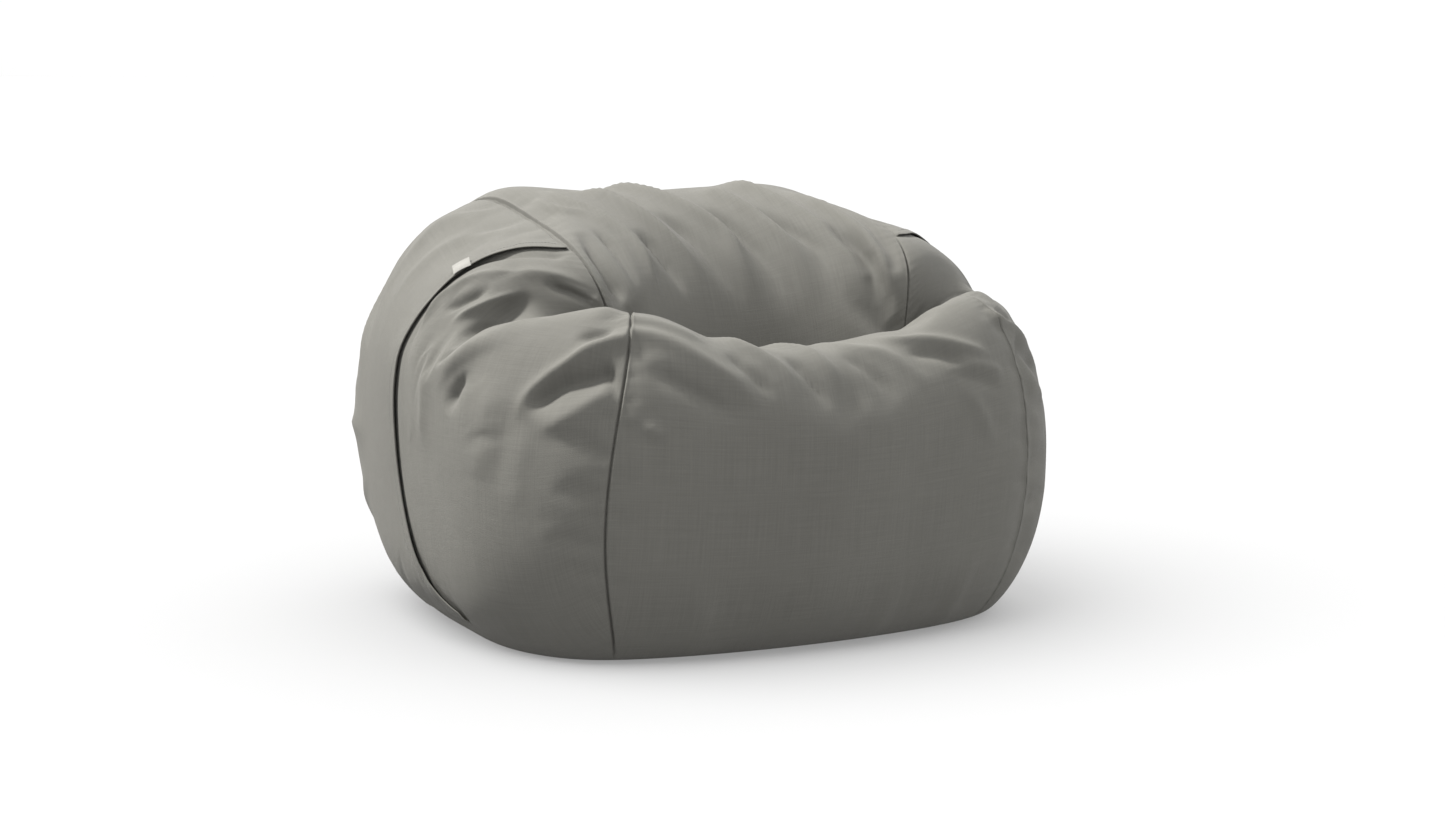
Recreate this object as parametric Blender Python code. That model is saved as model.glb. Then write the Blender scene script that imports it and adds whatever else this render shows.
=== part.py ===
"""Bean bag chair: a bead-filled liner inside a zipped cover sewn from a centre strip, side panels and rear flaps."""
import math

import bmesh
import bpy
import numpy as np

# Metres. The front faces -Y, the base lies on z = 0, and x = 0 halves the chair.

# The side-view loop runs from the base up the front, over the lip, down into the seat,
# up the backrest, over the crest and down the back.
# Each row: centre (y, z), strip seam (half width, y, z), arm (half width, y, z).
LOOP = (
    ((-0.180, -0.030), (0.285, -0.180, -0.030), (0.370, -0.160, -0.040)),  # base
    ((-0.390, -0.025), (0.300, -0.355, -0.030), (0.380, -0.280, -0.040)),
    ((-0.505, 0.025), (0.340, -0.440, 0.025), (0.405, -0.375, 0.030)),
    ((-0.540, 0.160), (0.385, -0.475, 0.170), (0.435, -0.420, 0.155)),  # front
    ((-0.555, 0.300), (0.380, -0.495, 0.325), (0.430, -0.425, 0.295)),
    ((-0.545, 0.415), (0.345, -0.500, 0.465), (0.415, -0.410, 0.410)),
    ((-0.480, 0.480), (0.300, -0.440, 0.565), (0.390, -0.345, 0.495)),  # lip
    ((-0.390, 0.430), (0.270, -0.370, 0.520), (0.375, -0.285, 0.520)),
    ((-0.340, 0.330), (0.245, -0.335, 0.420), (0.365, -0.245, 0.530)),  # seat
    ((-0.275, 0.285), (0.240, -0.320, 0.395), (0.370, -0.220, 0.535)),
    ((-0.215, 0.360), (0.250, -0.320, 0.465), (0.385, -0.190, 0.555)),
    ((-0.190, 0.470), (0.270, -0.315, 0.560), (0.400, -0.155, 0.580)),  # backrest
    ((-0.140, 0.580), (0.290, -0.245, 0.620), (0.405, -0.100, 0.585)),
    ((-0.030, 0.660), (0.285, -0.085, 0.645), (0.405, -0.010, 0.580)),  # crest
    ((0.130, 0.685), (0.285, 0.110, 0.685), (0.410, 0.100, 0.580)),
    ((0.280, 0.630), (0.305, 0.250, 0.655), (0.435, 0.205, 0.540)),
    ((0.385, 0.480), (0.335, 0.335, 0.500), (0.465, 0.295, 0.430)),
    ((0.430, 0.295), (0.350, 0.370, 0.300), (0.475, 0.325, 0.285)),  # back
    ((0.410, 0.110), (0.345, 0.340, 0.110), (0.440, 0.290, 0.125)),
    ((0.330, -0.020), (0.315, 0.270, -0.025), (0.385, 0.200, 0.000)),
    ((0.180, -0.030), (0.300, 0.135, -0.035), (0.370, 0.085, -0.030)),
    ((0.020, -0.030), (0.290, -0.005, -0.035), (0.370, -0.040, -0.040)),
)
ROWS = len(LOOP)
BETWEEN_WIDTH = 0.55  # row halfway from the centre to the seam
BETWEEN_BLEND = 0.28
CAP_CENTRE = (-0.080, 0.300)  # y, z of the middle of each side
CAP_RADIUS = 0.170
CAP_HEIGHT = 0.9
CAP_START = math.radians(-115)
OUTER_HALF_WIDTH = 0.490
CAP_HALF_WIDTH = 0.503
POLE_HALF_WIDTH = 0.513
OUTER_SHRINK = 0.75
DEPTH_SHIFT = 0.0664  # puts the middle of the depth on y = 0
FLOOR_BLEND = 0.020  # height over which the sides turn under onto the floor

SEAM_V = 2.0
POLE_V = 6.0
BASE_FRONT_T = 1.15
BASE_REAR_T = 19.3
COVER_STEPS = 29
BASE_STEPS = 7
STRIP_STEPS = 8
SIDE_STEPS = 8
BASE_BULGE = (0.0, 0.65, 0.92, 1.03, 1.05, 1.00, 0.72, 0.0)  # how far the base passes the seam, in rows

COVER_THICK = 0.0015
SEAM_GAP = 0.004  # in rows, about 0.4 mm
LINER_OUT = 0.0025
LINER_IN = 0.0033
FILL_OUT = 0.0052

# Hem of the rear flap seen from the side, as (y, z), from the crest seam down to the floor.
HEM = (
    (-0.131, 0.603), (-0.075, 0.596), (-0.030, 0.571), (0.004, 0.533), (0.027, 0.485), (0.041, 0.431),
    (0.048, 0.373), (0.046, 0.314), (0.036, 0.256), (0.018, 0.201), (-0.008, 0.151), (-0.041, 0.107),
    (-0.083, 0.073), (-0.133, 0.049),
)
# The edge sewn into the cover as (t, v), from the crest down the back seam and along the floor.
SEWN = (
    (12.00, 2.03), (13.00, 2.03), (14.00, 2.03), (15.00, 2.03), (16.00, 2.03), (17.00, 2.03),
    (18.00, 2.03), (18.60, 2.35), (19.05, 2.95), (19.60, 3.45), (21.00, 3.80), (22.60, 3.86),
)
FLAP_LENGTH_STEPS = 30
FLAP_WIDTH_STEPS = 10
FLAP_CLEAR = 0.0034
FLAP_THICK = 0.0014
HEM_WIDTH = 0.020
HEM_THICK = 0.0030
HEM_LIFT = 0.0030

LABEL_SIZE = (0.031, 0.019, 0.0008)
LABEL_STEP = 0.167  # share of the hem's length
LABEL_CLEAR = 0.0016

ZIP_Y = 0.060
ZIP_HALF = 0.250
TAPE_HALF = 0.268
SLOT_HALF_LENGTH = 0.272
SLOT_HALF_WIDTH = 0.0206
BASE_THICK = 0.0015
COIL_IN = 0.0008
COIL_OUT = 0.0032
TAPE_THICK = 0.0006
STRIP_LENGTHS = 6
STRIP_WAVE = 0.0001  # sewn tape is never quite straight
SLIDER_LENGTH = 0.014
SLIDER_X = 0.238
PULL_LENGTH = 0.028
PIN_RADIUS = 0.0006
PIN_CLEAR = 0.0003
PIN_DROP = 0.0052  # from the middle of the zip down to the pin
EYE_RADIUS = 0.0015
PULL_THICK = 0.0012
ZIP_LEVEL = 0.0109  # height of the middle of the cover's zip
LINER_ZIP_LEVEL = 0.0235
LINER_SLOT_HALF = 0.041
LINER_SLOT_LENGTH = 0.290
LINER_SLIDER_X = -0.238
GROOVE_HALF_WIDTH = 0.045
GROOVE_HALF_LENGTH = 0.300
GROOVE_TOP = 0.031


def material(name, colour, roughness, metallic=0.0):
    made = bpy.data.materials.new(name)
    made.use_nodes = True
    shader = made.node_tree.nodes["Principled BSDF"]
    shader.inputs["Base Color"].default_value = (*colour, 1.0)
    shader.inputs["Roughness"].default_value = roughness
    shader.inputs["Metallic"].default_value = metallic
    return made


def cage():
    """Control points of the right half, row by row from the centre to the middle of the side."""
    centre = np.array([row[0] for row in LOOP])
    seam = np.array([row[1] for row in LOOP])
    arm = np.array([row[2] for row in LOOP])
    cap = np.array(CAP_CENTRE)
    angles = CAP_START - 2 * math.pi * np.arange(ROWS) / ROWS
    ring = np.column_stack([np.cos(angles), CAP_HEIGHT * np.sin(angles)]) * CAP_RADIUS
    between = centre * (1 - BETWEEN_BLEND) + seam[:, 1:] * BETWEEN_BLEND
    rows = np.array([
        np.column_stack([np.zeros(ROWS), centre]),
        np.column_stack([seam[:, 0] * BETWEEN_WIDTH, between]),
        seam,
        arm,
        np.column_stack([np.full(ROWS, OUTER_HALF_WIDTH), cap + (arm[:, 1:] - cap) * OUTER_SHRINK]),
        np.column_stack([np.full(ROWS, CAP_HALF_WIDTH), cap + ring]),
        np.column_stack([np.full(ROWS, POLE_HALF_WIDTH), np.tile(cap, (ROWS, 1))]),
    ])
    return rows + [0.0, DEPTH_SHIFT, 0.0]


def extended_cage():
    """The cage with a mirrored row before the centre and a turned row after the pole."""
    rows = cage()
    before = rows[1] * [-1, 1, 1]
    after = np.roll(rows[-2], ROWS // 2, axis=0)
    return np.concatenate([[before], rows, [after]])


CAGE = extended_cage()


def weights(u):
    """Uniform cubic B-spline weights."""
    return np.stack([
        (1 - u) ** 3,
        3 * u ** 3 - 6 * u ** 2 + 4,
        -3 * u ** 3 + 3 * u ** 2 + 3 * u + 1,
        u ** 3,
    ], axis=-1) / 6


def form(t, v):
    """Point of the outer form at t round the loop and v out from the centre; v below 0 is the left half."""
    t, v = np.broadcast_arrays(np.asarray(t, float), np.asarray(v, float))
    side = np.where(v < 0, -1.0, 1.0)
    v = np.minimum(np.abs(v), POLE_V)
    row = np.floor(t).astype(int)
    column = np.minimum(np.floor(v).astype(int), int(POLE_V) - 1)
    along = weights(t - row)
    across = weights(v - column)
    point = np.zeros(t.shape + (3,))
    for a in range(4):
        for b in range(4):
            share = across[..., a] * along[..., b]
            point += share[..., None] * CAGE[column + a, (row + b - 1) % ROWS]
    height = point[..., 2]
    turned = (height + FLOOR_BLEND) ** 2 / (4 * FLOOR_BLEND)
    height = np.where(height > FLOOR_BLEND, height, np.where(height < -FLOOR_BLEND, 0.0, turned))
    point[..., 2] = height
    point[..., 0] *= side
    return point


def normals(t, v):
    """Outward unit normals of the form."""
    t, v = np.broadcast_arrays(np.asarray(t, float), np.asarray(v, float))
    step = 0.02
    held = np.clip(np.abs(v), 0.0, POLE_V - 0.05) * np.where(v < 0, -1.0, 1.0)
    along = form(t + step, held) - form(t - step, held)
    across = form(t, held + step) - form(t, held - step)
    normal = np.cross(across, along)
    normal /= np.linalg.norm(normal, axis=-1)[..., None]
    normal[np.abs(v) >= POLE_V - 1e-6] = 0.0
    normal[..., 0] = np.where(np.abs(v) >= POLE_V - 1e-6, np.sign(v), normal[..., 0])
    return normal


def layer(t, v, depth):
    """The form moved inwards by depth."""
    depth = np.asarray(depth, float)
    return form(t, v) - normals(t, v) * (depth[..., None] if depth.ndim else depth)


def make_object(name, mesh_data, surface, parent=None):
    mesh = bpy.data.meshes.new(name)
    mesh_data.to_mesh(mesh)
    mesh_data.free()
    made = bpy.data.objects.new(name, mesh)
    bpy.context.scene.collection.objects.link(made)
    mesh.materials.append(surface)
    if parent:
        made.parent = parent
    return made


def add_grid(mesh, points, flip, loop_rows=False, turned=0):
    """Adds a grid of triangles, its first columns split along the other diagonal, and returns its vertices."""
    verts = [[mesh.verts.new(p) for p in row] for row in points]
    rows = len(verts)
    for i in range(rows if loop_rows else rows - 1):
        for j in range(len(verts[0]) - 1):
            k = (i + 1) % rows
            a, b, c, d = verts[i][j], verts[i][j + 1], verts[k][j + 1], verts[k][j]
            for corners in ((a, b, d), (b, c, d)) if j < turned else ((a, b, c), (a, c, d)):
                mesh.faces.new(corners[::-1] if flip else corners)
    return verts


def add_wall(mesh, first, second):
    for i in range(len(first) - 1):
        a, b, c, d = first[i], first[i + 1], second[i + 1], second[i]
        mesh.faces.new((a, b, c))
        mesh.faces.new((a, c, d))


def finish(mesh):
    bmesh.ops.remove_doubles(mesh, verts=mesh.verts, dist=1e-6)
    mesh.normal_update()
    bmesh.ops.recalc_face_normals(mesh, faces=mesh.faces)
    return mesh


def panel(name, outer, inner, surface, loop_rows=False):
    """A thin panel between two matching grids, closed round its edges."""
    mesh = bmesh.new()
    top = add_grid(mesh, outer, False, loop_rows)
    under = add_grid(mesh, inner, True, loop_rows)
    add_wall(mesh, [row[-1] for row in top] + top[0][-1:] * loop_rows,
             [row[-1] for row in under] + under[0][-1:] * loop_rows)
    add_wall(mesh, [row[0] for row in under] + under[0][:1] * loop_rows,
             [row[0] for row in top] + top[0][:1] * loop_rows)
    if not loop_rows:
        add_wall(mesh, top[0], under[0])
        add_wall(mesh, under[-1], top[-1])
    return make_object(name, finish(mesh), surface)


COVER_T = np.linspace(BASE_FRONT_T, BASE_REAR_T, COVER_STEPS + 1)
BASE_T = np.linspace(BASE_REAR_T, BASE_FRONT_T + ROWS, BASE_STEPS + 1)
ALL_T = np.concatenate([COVER_T, BASE_T[1:-1]])
START_V = np.concatenate([np.full(COVER_STEPS + 1, SEAM_V), SEAM_V + np.array(BASE_BULGE[1:-1])])


def side_grid(gap):
    """t and v of a side, from the strip seam or the base outline to the middle of the side."""
    share = np.linspace(0, 1, SIDE_STEPS + 1)
    start = START_V + gap
    v = start[:, None] + share[None, :] * (POLE_V - start[:, None])
    return np.repeat(ALL_T[:, None], SIDE_STEPS + 1, axis=1), v


def whole_grid():
    """t and v of the whole form, from the middle of one side to the middle of the other."""
    share = np.linspace(-1, 1, STRIP_STEPS + 1)
    strip = START_V[:, None] * share[None, :]
    _, side = side_grid(0.0)
    v = np.concatenate([-side[:, :0:-1], strip, side[:, 1:]], axis=1)
    return np.repeat(ALL_T[:, None], v.shape[1], axis=1), v


def centre_panel(surface):
    half = SEAM_V - SEAM_GAP
    t, v = np.meshgrid(COVER_T, np.linspace(-half, half, STRIP_STEPS + 1), indexing="ij")
    t[0] += SEAM_GAP
    t[-1] -= SEAM_GAP
    return panel("centre_panel", form(t, v), layer(t, v, COVER_THICK), surface)


def side_panel(name, sign, surface):
    t, v = side_grid(SEAM_GAP)
    return panel(name, form(t, v * sign), layer(t, v * sign, COVER_THICK), surface, loop_rows=True)


def flat_outline(v_shift):
    """Outline of the base: front edge from left to right, right side to the rear, and back."""
    half = np.linspace(-SEAM_V + SEAM_GAP, SEAM_V - SEAM_GAP, STRIP_STEPS + 1)
    front = form(np.full(half.shape, BASE_FRONT_T - SEAM_GAP), half)
    rear = form(np.full(half.shape, BASE_REAR_T + SEAM_GAP), half)
    t = BASE_T[1:-1]
    right = form(t, START_V[-len(t):] - v_shift)
    left = right * [-1, 1, 1]
    loop = [*front, *right[::-1], *rear[::-1], *left]
    return [(p[0], p[1]) for p in loop]


def flat_piece(name, outline, low, high, surface):
    """A flat piece from an outline in plan."""
    mesh = bmesh.new()
    under = [mesh.verts.new((x, y, low)) for x, y in outline]
    top = [mesh.verts.new((x, y, high)) for x, y in outline]
    mesh.faces.new(under[::-1])
    mesh.faces.new(top)
    for i in range(len(outline)):
        k = (i + 1) % len(outline)
        mesh.faces.new((under[i], under[k], top[k], top[i]))
    bmesh.ops.triangulate(mesh, faces=mesh.faces)
    return make_object(name, finish(mesh), surface)


def crossing(first, second, y):
    share = (y - first[1]) / (second[1] - first[1])
    return (first[0] + share * (second[0] - first[0]), y)


def base_piece(name, sign, surface):
    """The front or rear part of the base, cut back along the zip."""
    outline = flat_outline(SEAM_GAP)
    edge = ZIP_Y + sign * 0.0002
    kept = []
    for i, here in enumerate(outline):
        following = outline[(i + 1) % len(outline)]
        inside = sign * (here[1] - edge) > 0
        if inside:
            kept.append(here)
        if inside != (sign * (following[1] - edge) > 0):
            kept.append(crossing(here, following, edge))
    made = flat_piece(name, kept, 0.0, BASE_THICK, surface)
    slot = box(f"{name}_slot_cut", (-SLOT_HALF_LENGTH, ZIP_Y - SLOT_HALF_WIDTH, -0.01),
               (SLOT_HALF_LENGTH, ZIP_Y + SLOT_HALF_WIDTH, 0.01))
    return combine(made, [slot], "DIFFERENCE")


def polar(points):
    """(t, v) as points of a plane in which the middle of the side is the origin."""
    points = np.asarray(points, float)
    angle = points[..., 0] * 2 * math.pi / ROWS
    radius = POLE_V - points[..., 1]
    return np.stack([radius * np.cos(angle), radius * np.sin(angle)], axis=-1)


def from_polar(points):
    angle = np.arctan2(points[..., 1], points[..., 0])
    t = (angle * ROWS / (2 * math.pi)) % ROWS
    return t, POLE_V - np.linalg.norm(points, axis=-1)


def smooth_line(points, share):
    """Catmull-Rom line through points, at shares of its number of steps."""
    points = np.asarray(points, float)
    ends = np.concatenate([[2 * points[0] - points[1]], points, [2 * points[-1] - points[-2]]])
    at = np.asarray(share, float) * (len(points) - 1)
    i = np.minimum(np.floor(at).astype(int), len(points) - 2)
    u = (at - i)[:, None]
    a, b, c, d = ends[i], ends[i + 1], ends[i + 2], ends[i + 3]
    return 0.5 * (2 * b + (c - a) * u + (2 * a - 5 * b + 4 * c - d) * u ** 2
                  + (3 * b - a - 3 * c + d) * u ** 3)


def hem_line(share):
    """The hem in the polar plane: each point of the form that lies on it as seen from the side."""
    line = smooth_line(HEM, share)
    t, v = np.meshgrid(np.arange(0, ROWS, 0.05), np.arange(SEAM_V, POLE_V, 0.05), indexing="ij")
    plane = polar(np.stack([t, v], axis=-1)).reshape(-1, 2)
    seen = form(t, v)[..., 1:].reshape(-1, 2)
    at = np.array([plane[np.argmin(((seen - point) ** 2).sum(axis=1))] for point in line])
    step = 1e-3
    for _ in range(4):
        here = form(*from_polar(at))[:, 1:]
        by_a = (form(*from_polar(at + [step, 0]))[:, 1:] - here) / step
        by_b = (form(*from_polar(at + [0, step]))[:, 1:] - here) / step
        at += np.linalg.solve(np.stack([by_a, by_b], axis=-1), (line - here)[..., None])[..., 0] * 0.8
    return at


def flap_params():
    """t and v of the rear flap's grid, from its sewn edge to its hem."""
    share = np.linspace(0, 1, FLAP_LENGTH_STEPS + 1)
    sewn = smooth_line(polar(SEWN), share)
    hem = hem_line(share)
    hem[0] = sewn[0]
    hem[-1] = sewn[-1]
    across = np.linspace(0, 1, FLAP_WIDTH_STEPS - 1)
    width = np.linalg.norm(form(*from_polar(hem)) - form(*from_polar(sewn)), axis=-1)
    band = 1 - np.minimum(HEM_WIDTH / np.maximum(width, 1e-6), 0.5)
    steps = np.concatenate([band[:, None] * across, band[:, None] * 0.999 + 0.004, np.ones((len(share), 1))], axis=1)
    plane = sewn[:, None] + steps[..., None] * (hem - sewn)[:, None]
    t, v = from_polar(plane)
    return t, v, steps


def flap_heights():
    t, v, steps = flap_params()
    lift = FLAP_CLEAR + HEM_LIFT * np.clip(steps * 2 - 1, 0, 1) ** 2
    thick = np.full(steps.shape, FLAP_THICK)
    thick[:, -2:] = HEM_THICK
    taper = np.sin(np.linspace(0, 1, len(steps)) * math.pi)[:, None] ** 0.25
    thick = FLAP_THICK + (thick - FLAP_THICK) * taper
    return t, v, lift, thick


def rear_flap(name, sign, surface):
    t, v, lift, thick = flap_heights()
    return panel(name, layer(t, v * sign, -lift - thick), layer(t, v * sign, -lift), surface)


def side_label(surface):
    """A blank label lying across the left flap's hem."""
    t, v, lift, thick = flap_heights()
    i = int(round(LABEL_STEP * FLAP_LENGTH_STEPS))
    at_t, at_v = t[i, -1], -v[i, -1]
    normal = normals(at_t, at_v)
    along = form(t[i + 1, -1], -v[i + 1, -1]) - form(t[i - 1, -1], -v[i - 1, -1])
    along -= normal * along.dot(normal)
    along /= np.linalg.norm(along)
    across = np.cross(normal, along)
    middle = form(at_t, at_v) + normal * (lift[i, -1] + thick[i, -1] + LABEL_CLEAR)
    mesh = bmesh.new()
    for z in (-0.5, 0.5):
        for x, y in ((-0.5, -0.5), (0.5, -0.5), (0.5, 0.5), (-0.5, 0.5)):
            offset = along * x * LABEL_SIZE[0] + across * y * LABEL_SIZE[1] + normal * z * LABEL_SIZE[2]
            mesh.verts.new(middle + offset)
    mesh.verts.ensure_lookup_table()
    for face in ((3, 2, 1, 0), (4, 5, 6, 7), (0, 1, 5, 4), (1, 2, 6, 5), (2, 3, 7, 6), (3, 0, 4, 7)):
        mesh.faces.new([mesh.verts[i] for i in face])
    bmesh.ops.triangulate(mesh, faces=mesh.faces)
    return make_object("side_label", finish(mesh), surface)


def box(name, low, high, surface=None, parent=None):
    mesh = bmesh.new()
    bmesh.ops.create_cube(mesh, size=1.0)
    for vert in mesh.verts:
        vert.co = [low[i] + (vert.co[i] + 0.5) * (high[i] - low[i]) for i in range(3)]
    mesh.normal_update()
    made = bpy.data.objects.new(name, bpy.data.meshes.new(name))
    mesh.to_mesh(made.data)
    mesh.free()
    bpy.context.scene.collection.objects.link(made)
    if surface:
        made.data.materials.append(surface)
    if parent:
        made.parent = parent
    return made


def cylinder_y(name, x, y, z, radius, length, sides=16):
    mesh = bmesh.new()
    bmesh.ops.create_cone(mesh, cap_ends=True, segments=sides, radius1=radius, radius2=radius, depth=length)
    for vert in mesh.verts:
        vert.co = (vert.co.x + x, y - vert.co.z, vert.co.y + z)
    made = bpy.data.objects.new(name, bpy.data.meshes.new(name))
    mesh.to_mesh(made.data)
    mesh.free()
    bpy.context.scene.collection.objects.link(made)
    return made


def combine(target, others, operation):
    for other in others:
        cut = target.modifiers.new(operation.lower(), "BOOLEAN")
        cut.operation = operation
        cut.solver = "EXACT"
        cut.object = other
        other.hide_render = True
        other.display_type = "WIRE"
    return target


def closed_layer(mesh, depth, flip):
    t, v = whole_grid()
    add_grid(mesh, layer(t, v, depth), flip, loop_rows=True, turned=SIDE_STEPS)


def fill(surface):
    mesh = bmesh.new()
    closed_layer(mesh, FILL_OUT, False)
    made = make_object("fill_beads", finish(mesh), surface)
    groove = box("groove_cut", (-GROOVE_HALF_LENGTH, ZIP_Y - GROOVE_HALF_WIDTH, -0.01),
                 (GROOVE_HALF_LENGTH, ZIP_Y + GROOVE_HALF_WIDTH, GROOVE_TOP))
    return combine(made, [groove], "DIFFERENCE")


def liner(surface):
    mesh = bmesh.new()
    closed_layer(mesh, LINER_OUT, False)
    made = make_object("liner_bag", finish(mesh), surface)
    inside = bmesh.new()
    closed_layer(inside, LINER_IN, False)
    inner = make_object("liner_inside", finish(inside), surface)
    slot = box("liner_slot_cut", (-LINER_SLOT_LENGTH, ZIP_Y - LINER_SLOT_HALF, 0.0),
               (LINER_SLOT_LENGTH, ZIP_Y + LINER_SLOT_HALF, 0.006))
    return combine(made, [inner, slot], "DIFFERENCE")


def profile_piece(name, profile, half_length, sign, surface):
    """A strip with a profile in (distance from the zip, height), drawn along X."""
    mesh = bmesh.new()
    rings = []
    for i, x in enumerate(np.linspace(-half_length, half_length, STRIP_LENGTHS + 1)):
        lift = STRIP_WAVE * (i % 2)
        rings.append([mesh.verts.new((x * sign, ZIP_Y + sign * y, z + lift)) for y, z in profile])
    mesh.faces.new(rings[0])
    mesh.faces.new(rings[-1][::-1])
    for here, following in zip(rings, rings[1:]):
        for i in range(len(profile)):
            k = (i + 1) % len(profile)
            mesh.faces.new((here[i], following[i], following[k], here[k]))
    bmesh.ops.triangulate(mesh, faces=mesh.faces)
    return make_object(name, finish(mesh), surface)


def tape_profile(level, foot_low, wall, foot_out):
    """A sewn foot, a wall up to the zip, and the tape in to the coil."""
    low = level - TAPE_THICK / 2
    high = level + TAPE_THICK / 2
    tape_in = COIL_OUT + 0.0003
    return [
        (foot_out, foot_low), (foot_out, foot_low + TAPE_THICK), (wall, foot_low + TAPE_THICK), (wall, high),
        (tape_in, high), (tape_in, low), (wall - TAPE_THICK, low), (wall - TAPE_THICK, foot_low),
    ]


def coil_profile(level):
    """A rounded bar for one row of the coil."""
    return [
        (COIL_IN, level - 0.0009), (COIL_IN + 0.0006, level - 0.0015), (COIL_OUT - 0.0006, level - 0.0015),
        (COIL_OUT, level - 0.0009), (COIL_OUT, level + 0.0009), (COIL_OUT - 0.0006, level + 0.0015),
        (COIL_IN + 0.0006, level + 0.0015), (COIL_IN, level + 0.0009),
    ]


def slider(name, x, level, surface):
    """Two plates joined by a post between the rows, with flanges, and lugs below for the pull."""
    half = SLIDER_LENGTH / 2
    centre = ZIP_Y

    def part(tag, x0, x1, y0, y1, z0, z1):
        return box(f"{name}_{tag}", (x + x0, centre + y0, level + z0), (x + x1, centre + y1, level + z1))

    body = box(name, (x - half, centre - 0.0055, level - 0.0033),
               (x + half, centre + 0.0055, level - 0.0021), surface)
    others = [
        part("top", -half, half, -0.0055, 0.0055, 0.0021, 0.0033),
        part("post", -half, -half + 0.005, -0.0005, 0.0005, -0.0027, 0.0027),
        part("flange_a", -half, half, -0.0055, -0.0044, -0.0028, -0.0010),
        part("flange_b", -half, half, 0.0044, 0.0055, -0.0028, -0.0010),
        part("flange_c", -half, half, -0.0055, -0.0044, 0.0010, 0.0028),
        part("flange_d", -half, half, 0.0044, 0.0055, 0.0010, 0.0028),
        part("lug_a", -0.0015, 0.0015, -0.0037, -0.0027, -0.0063, -0.0030),
        part("lug_b", -0.0015, 0.0015, 0.0027, 0.0037, -0.0063, -0.0030),
        cylinder_y(f"{name}_pin", x, centre, level - PIN_DROP, PIN_RADIUS, 0.0062),
    ]
    return combine(body, others, "UNION")


def pull(name, x, level, length, direction, surface):
    """A flat tab with an eye round the slider's pin. Its origin is on the pin."""
    z = level - PIN_DROP
    start = x - direction * EYE_RADIUS * 0.5
    end = x + direction * length
    tab = box(name, (min(start, end), ZIP_Y - 0.0023, z - PULL_THICK / 2),
              (max(start, end), ZIP_Y + 0.0023, z + PULL_THICK / 2), surface)
    eye = cylinder_y(f"{name}_eye", x, ZIP_Y, z, EYE_RADIUS, 0.0044, 20)
    hole = cylinder_y(f"{name}_hole", x, ZIP_Y, z, PIN_RADIUS + PIN_CLEAR, 0.02, 20)
    combine(tab, [eye], "UNION")
    combine(tab, [hole], "DIFFERENCE")
    pivot = np.array([x, ZIP_Y, z])
    for made in (tab, eye, hole):
        for vert in made.data.vertices:
            vert.co = vert.co - type(vert.co)(pivot)
        made.location = pivot
    return tab


def main():
    for existing in list(bpy.data.objects):
        bpy.data.objects.remove(existing, do_unlink=True)
    canvas = material("grey_canvas", (0.135, 0.132, 0.120), 0.9)
    flap_canvas = material("grey_canvas_flap", (0.150, 0.147, 0.134), 0.9)
    base_canvas = material("base_canvas", (0.060, 0.060, 0.058), 0.9)
    liner_cloth = material("liner_cloth", (0.75, 0.75, 0.72), 0.8)
    beads = material("bead_fill", (0.86, 0.86, 0.84), 0.7)
    tape = material("zip_tape", (0.040, 0.040, 0.040), 0.8)
    coil = material("zip_coil", (0.020, 0.020, 0.020), 0.4)
    metal = material("zip_metal", (0.30, 0.30, 0.31), 0.35, 1.0)
    white = material("label_white", (0.80, 0.79, 0.75), 0.7)

    fill(beads)
    liner(liner_cloth)
    centre_panel(canvas)
    side_panel("left_side_panel", -1, canvas)
    side_panel("right_side_panel", 1, canvas)
    rear_flap("left_rear_flap", -1, flap_canvas)
    rear_flap("right_rear_flap", 1, flap_canvas)
    base_piece("base_front_panel", -1, base_canvas)
    base_piece("base_rear_panel", 1, base_canvas)
    side_label(white)

    outer = tape_profile(ZIP_LEVEL, BASE_THICK + 0.0003, 0.0203, 0.0340)
    inner = tape_profile(LINER_ZIP_LEVEL, LINER_IN + 0.0003, 0.0425, 0.0560)
    for label, sign in (("front", -1), ("rear", 1)):
        profile_piece(f"zip_tape_{label}", outer, TAPE_HALF, sign, tape)
        profile_piece(f"zip_coil_{label}", coil_profile(ZIP_LEVEL), ZIP_HALF, sign, coil)
        profile_piece(f"liner_zip_tape_{label}", inner, TAPE_HALF, sign, liner_cloth)
        profile_piece(f"liner_zip_coil_{label}", coil_profile(LINER_ZIP_LEVEL), ZIP_HALF, sign, coil)
    for label, sign in (("left", -1), ("right", 1)):
        low = sorted((sign * (ZIP_HALF + 0.0003), sign * (ZIP_HALF + 0.0040)))
        box(f"zip_stop_{label}", (low[0], ZIP_Y - 0.0032, ZIP_LEVEL - 0.0016),
            (low[1], ZIP_Y + 0.0032, ZIP_LEVEL + 0.0016), metal)
    slider("zip_slider", SLIDER_X, ZIP_LEVEL, metal)
    pull("zip_pull", SLIDER_X, ZIP_LEVEL, PULL_LENGTH, -1, metal)
    slider("liner_zip_slider", LINER_SLIDER_X, LINER_ZIP_LEVEL, metal)


main()
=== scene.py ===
"""Looks of the bean bag chair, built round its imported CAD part."""

import math

import bpy
import numpy as np
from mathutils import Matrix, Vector
from mathutils.geometry import delaunay_2d_cdt


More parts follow.
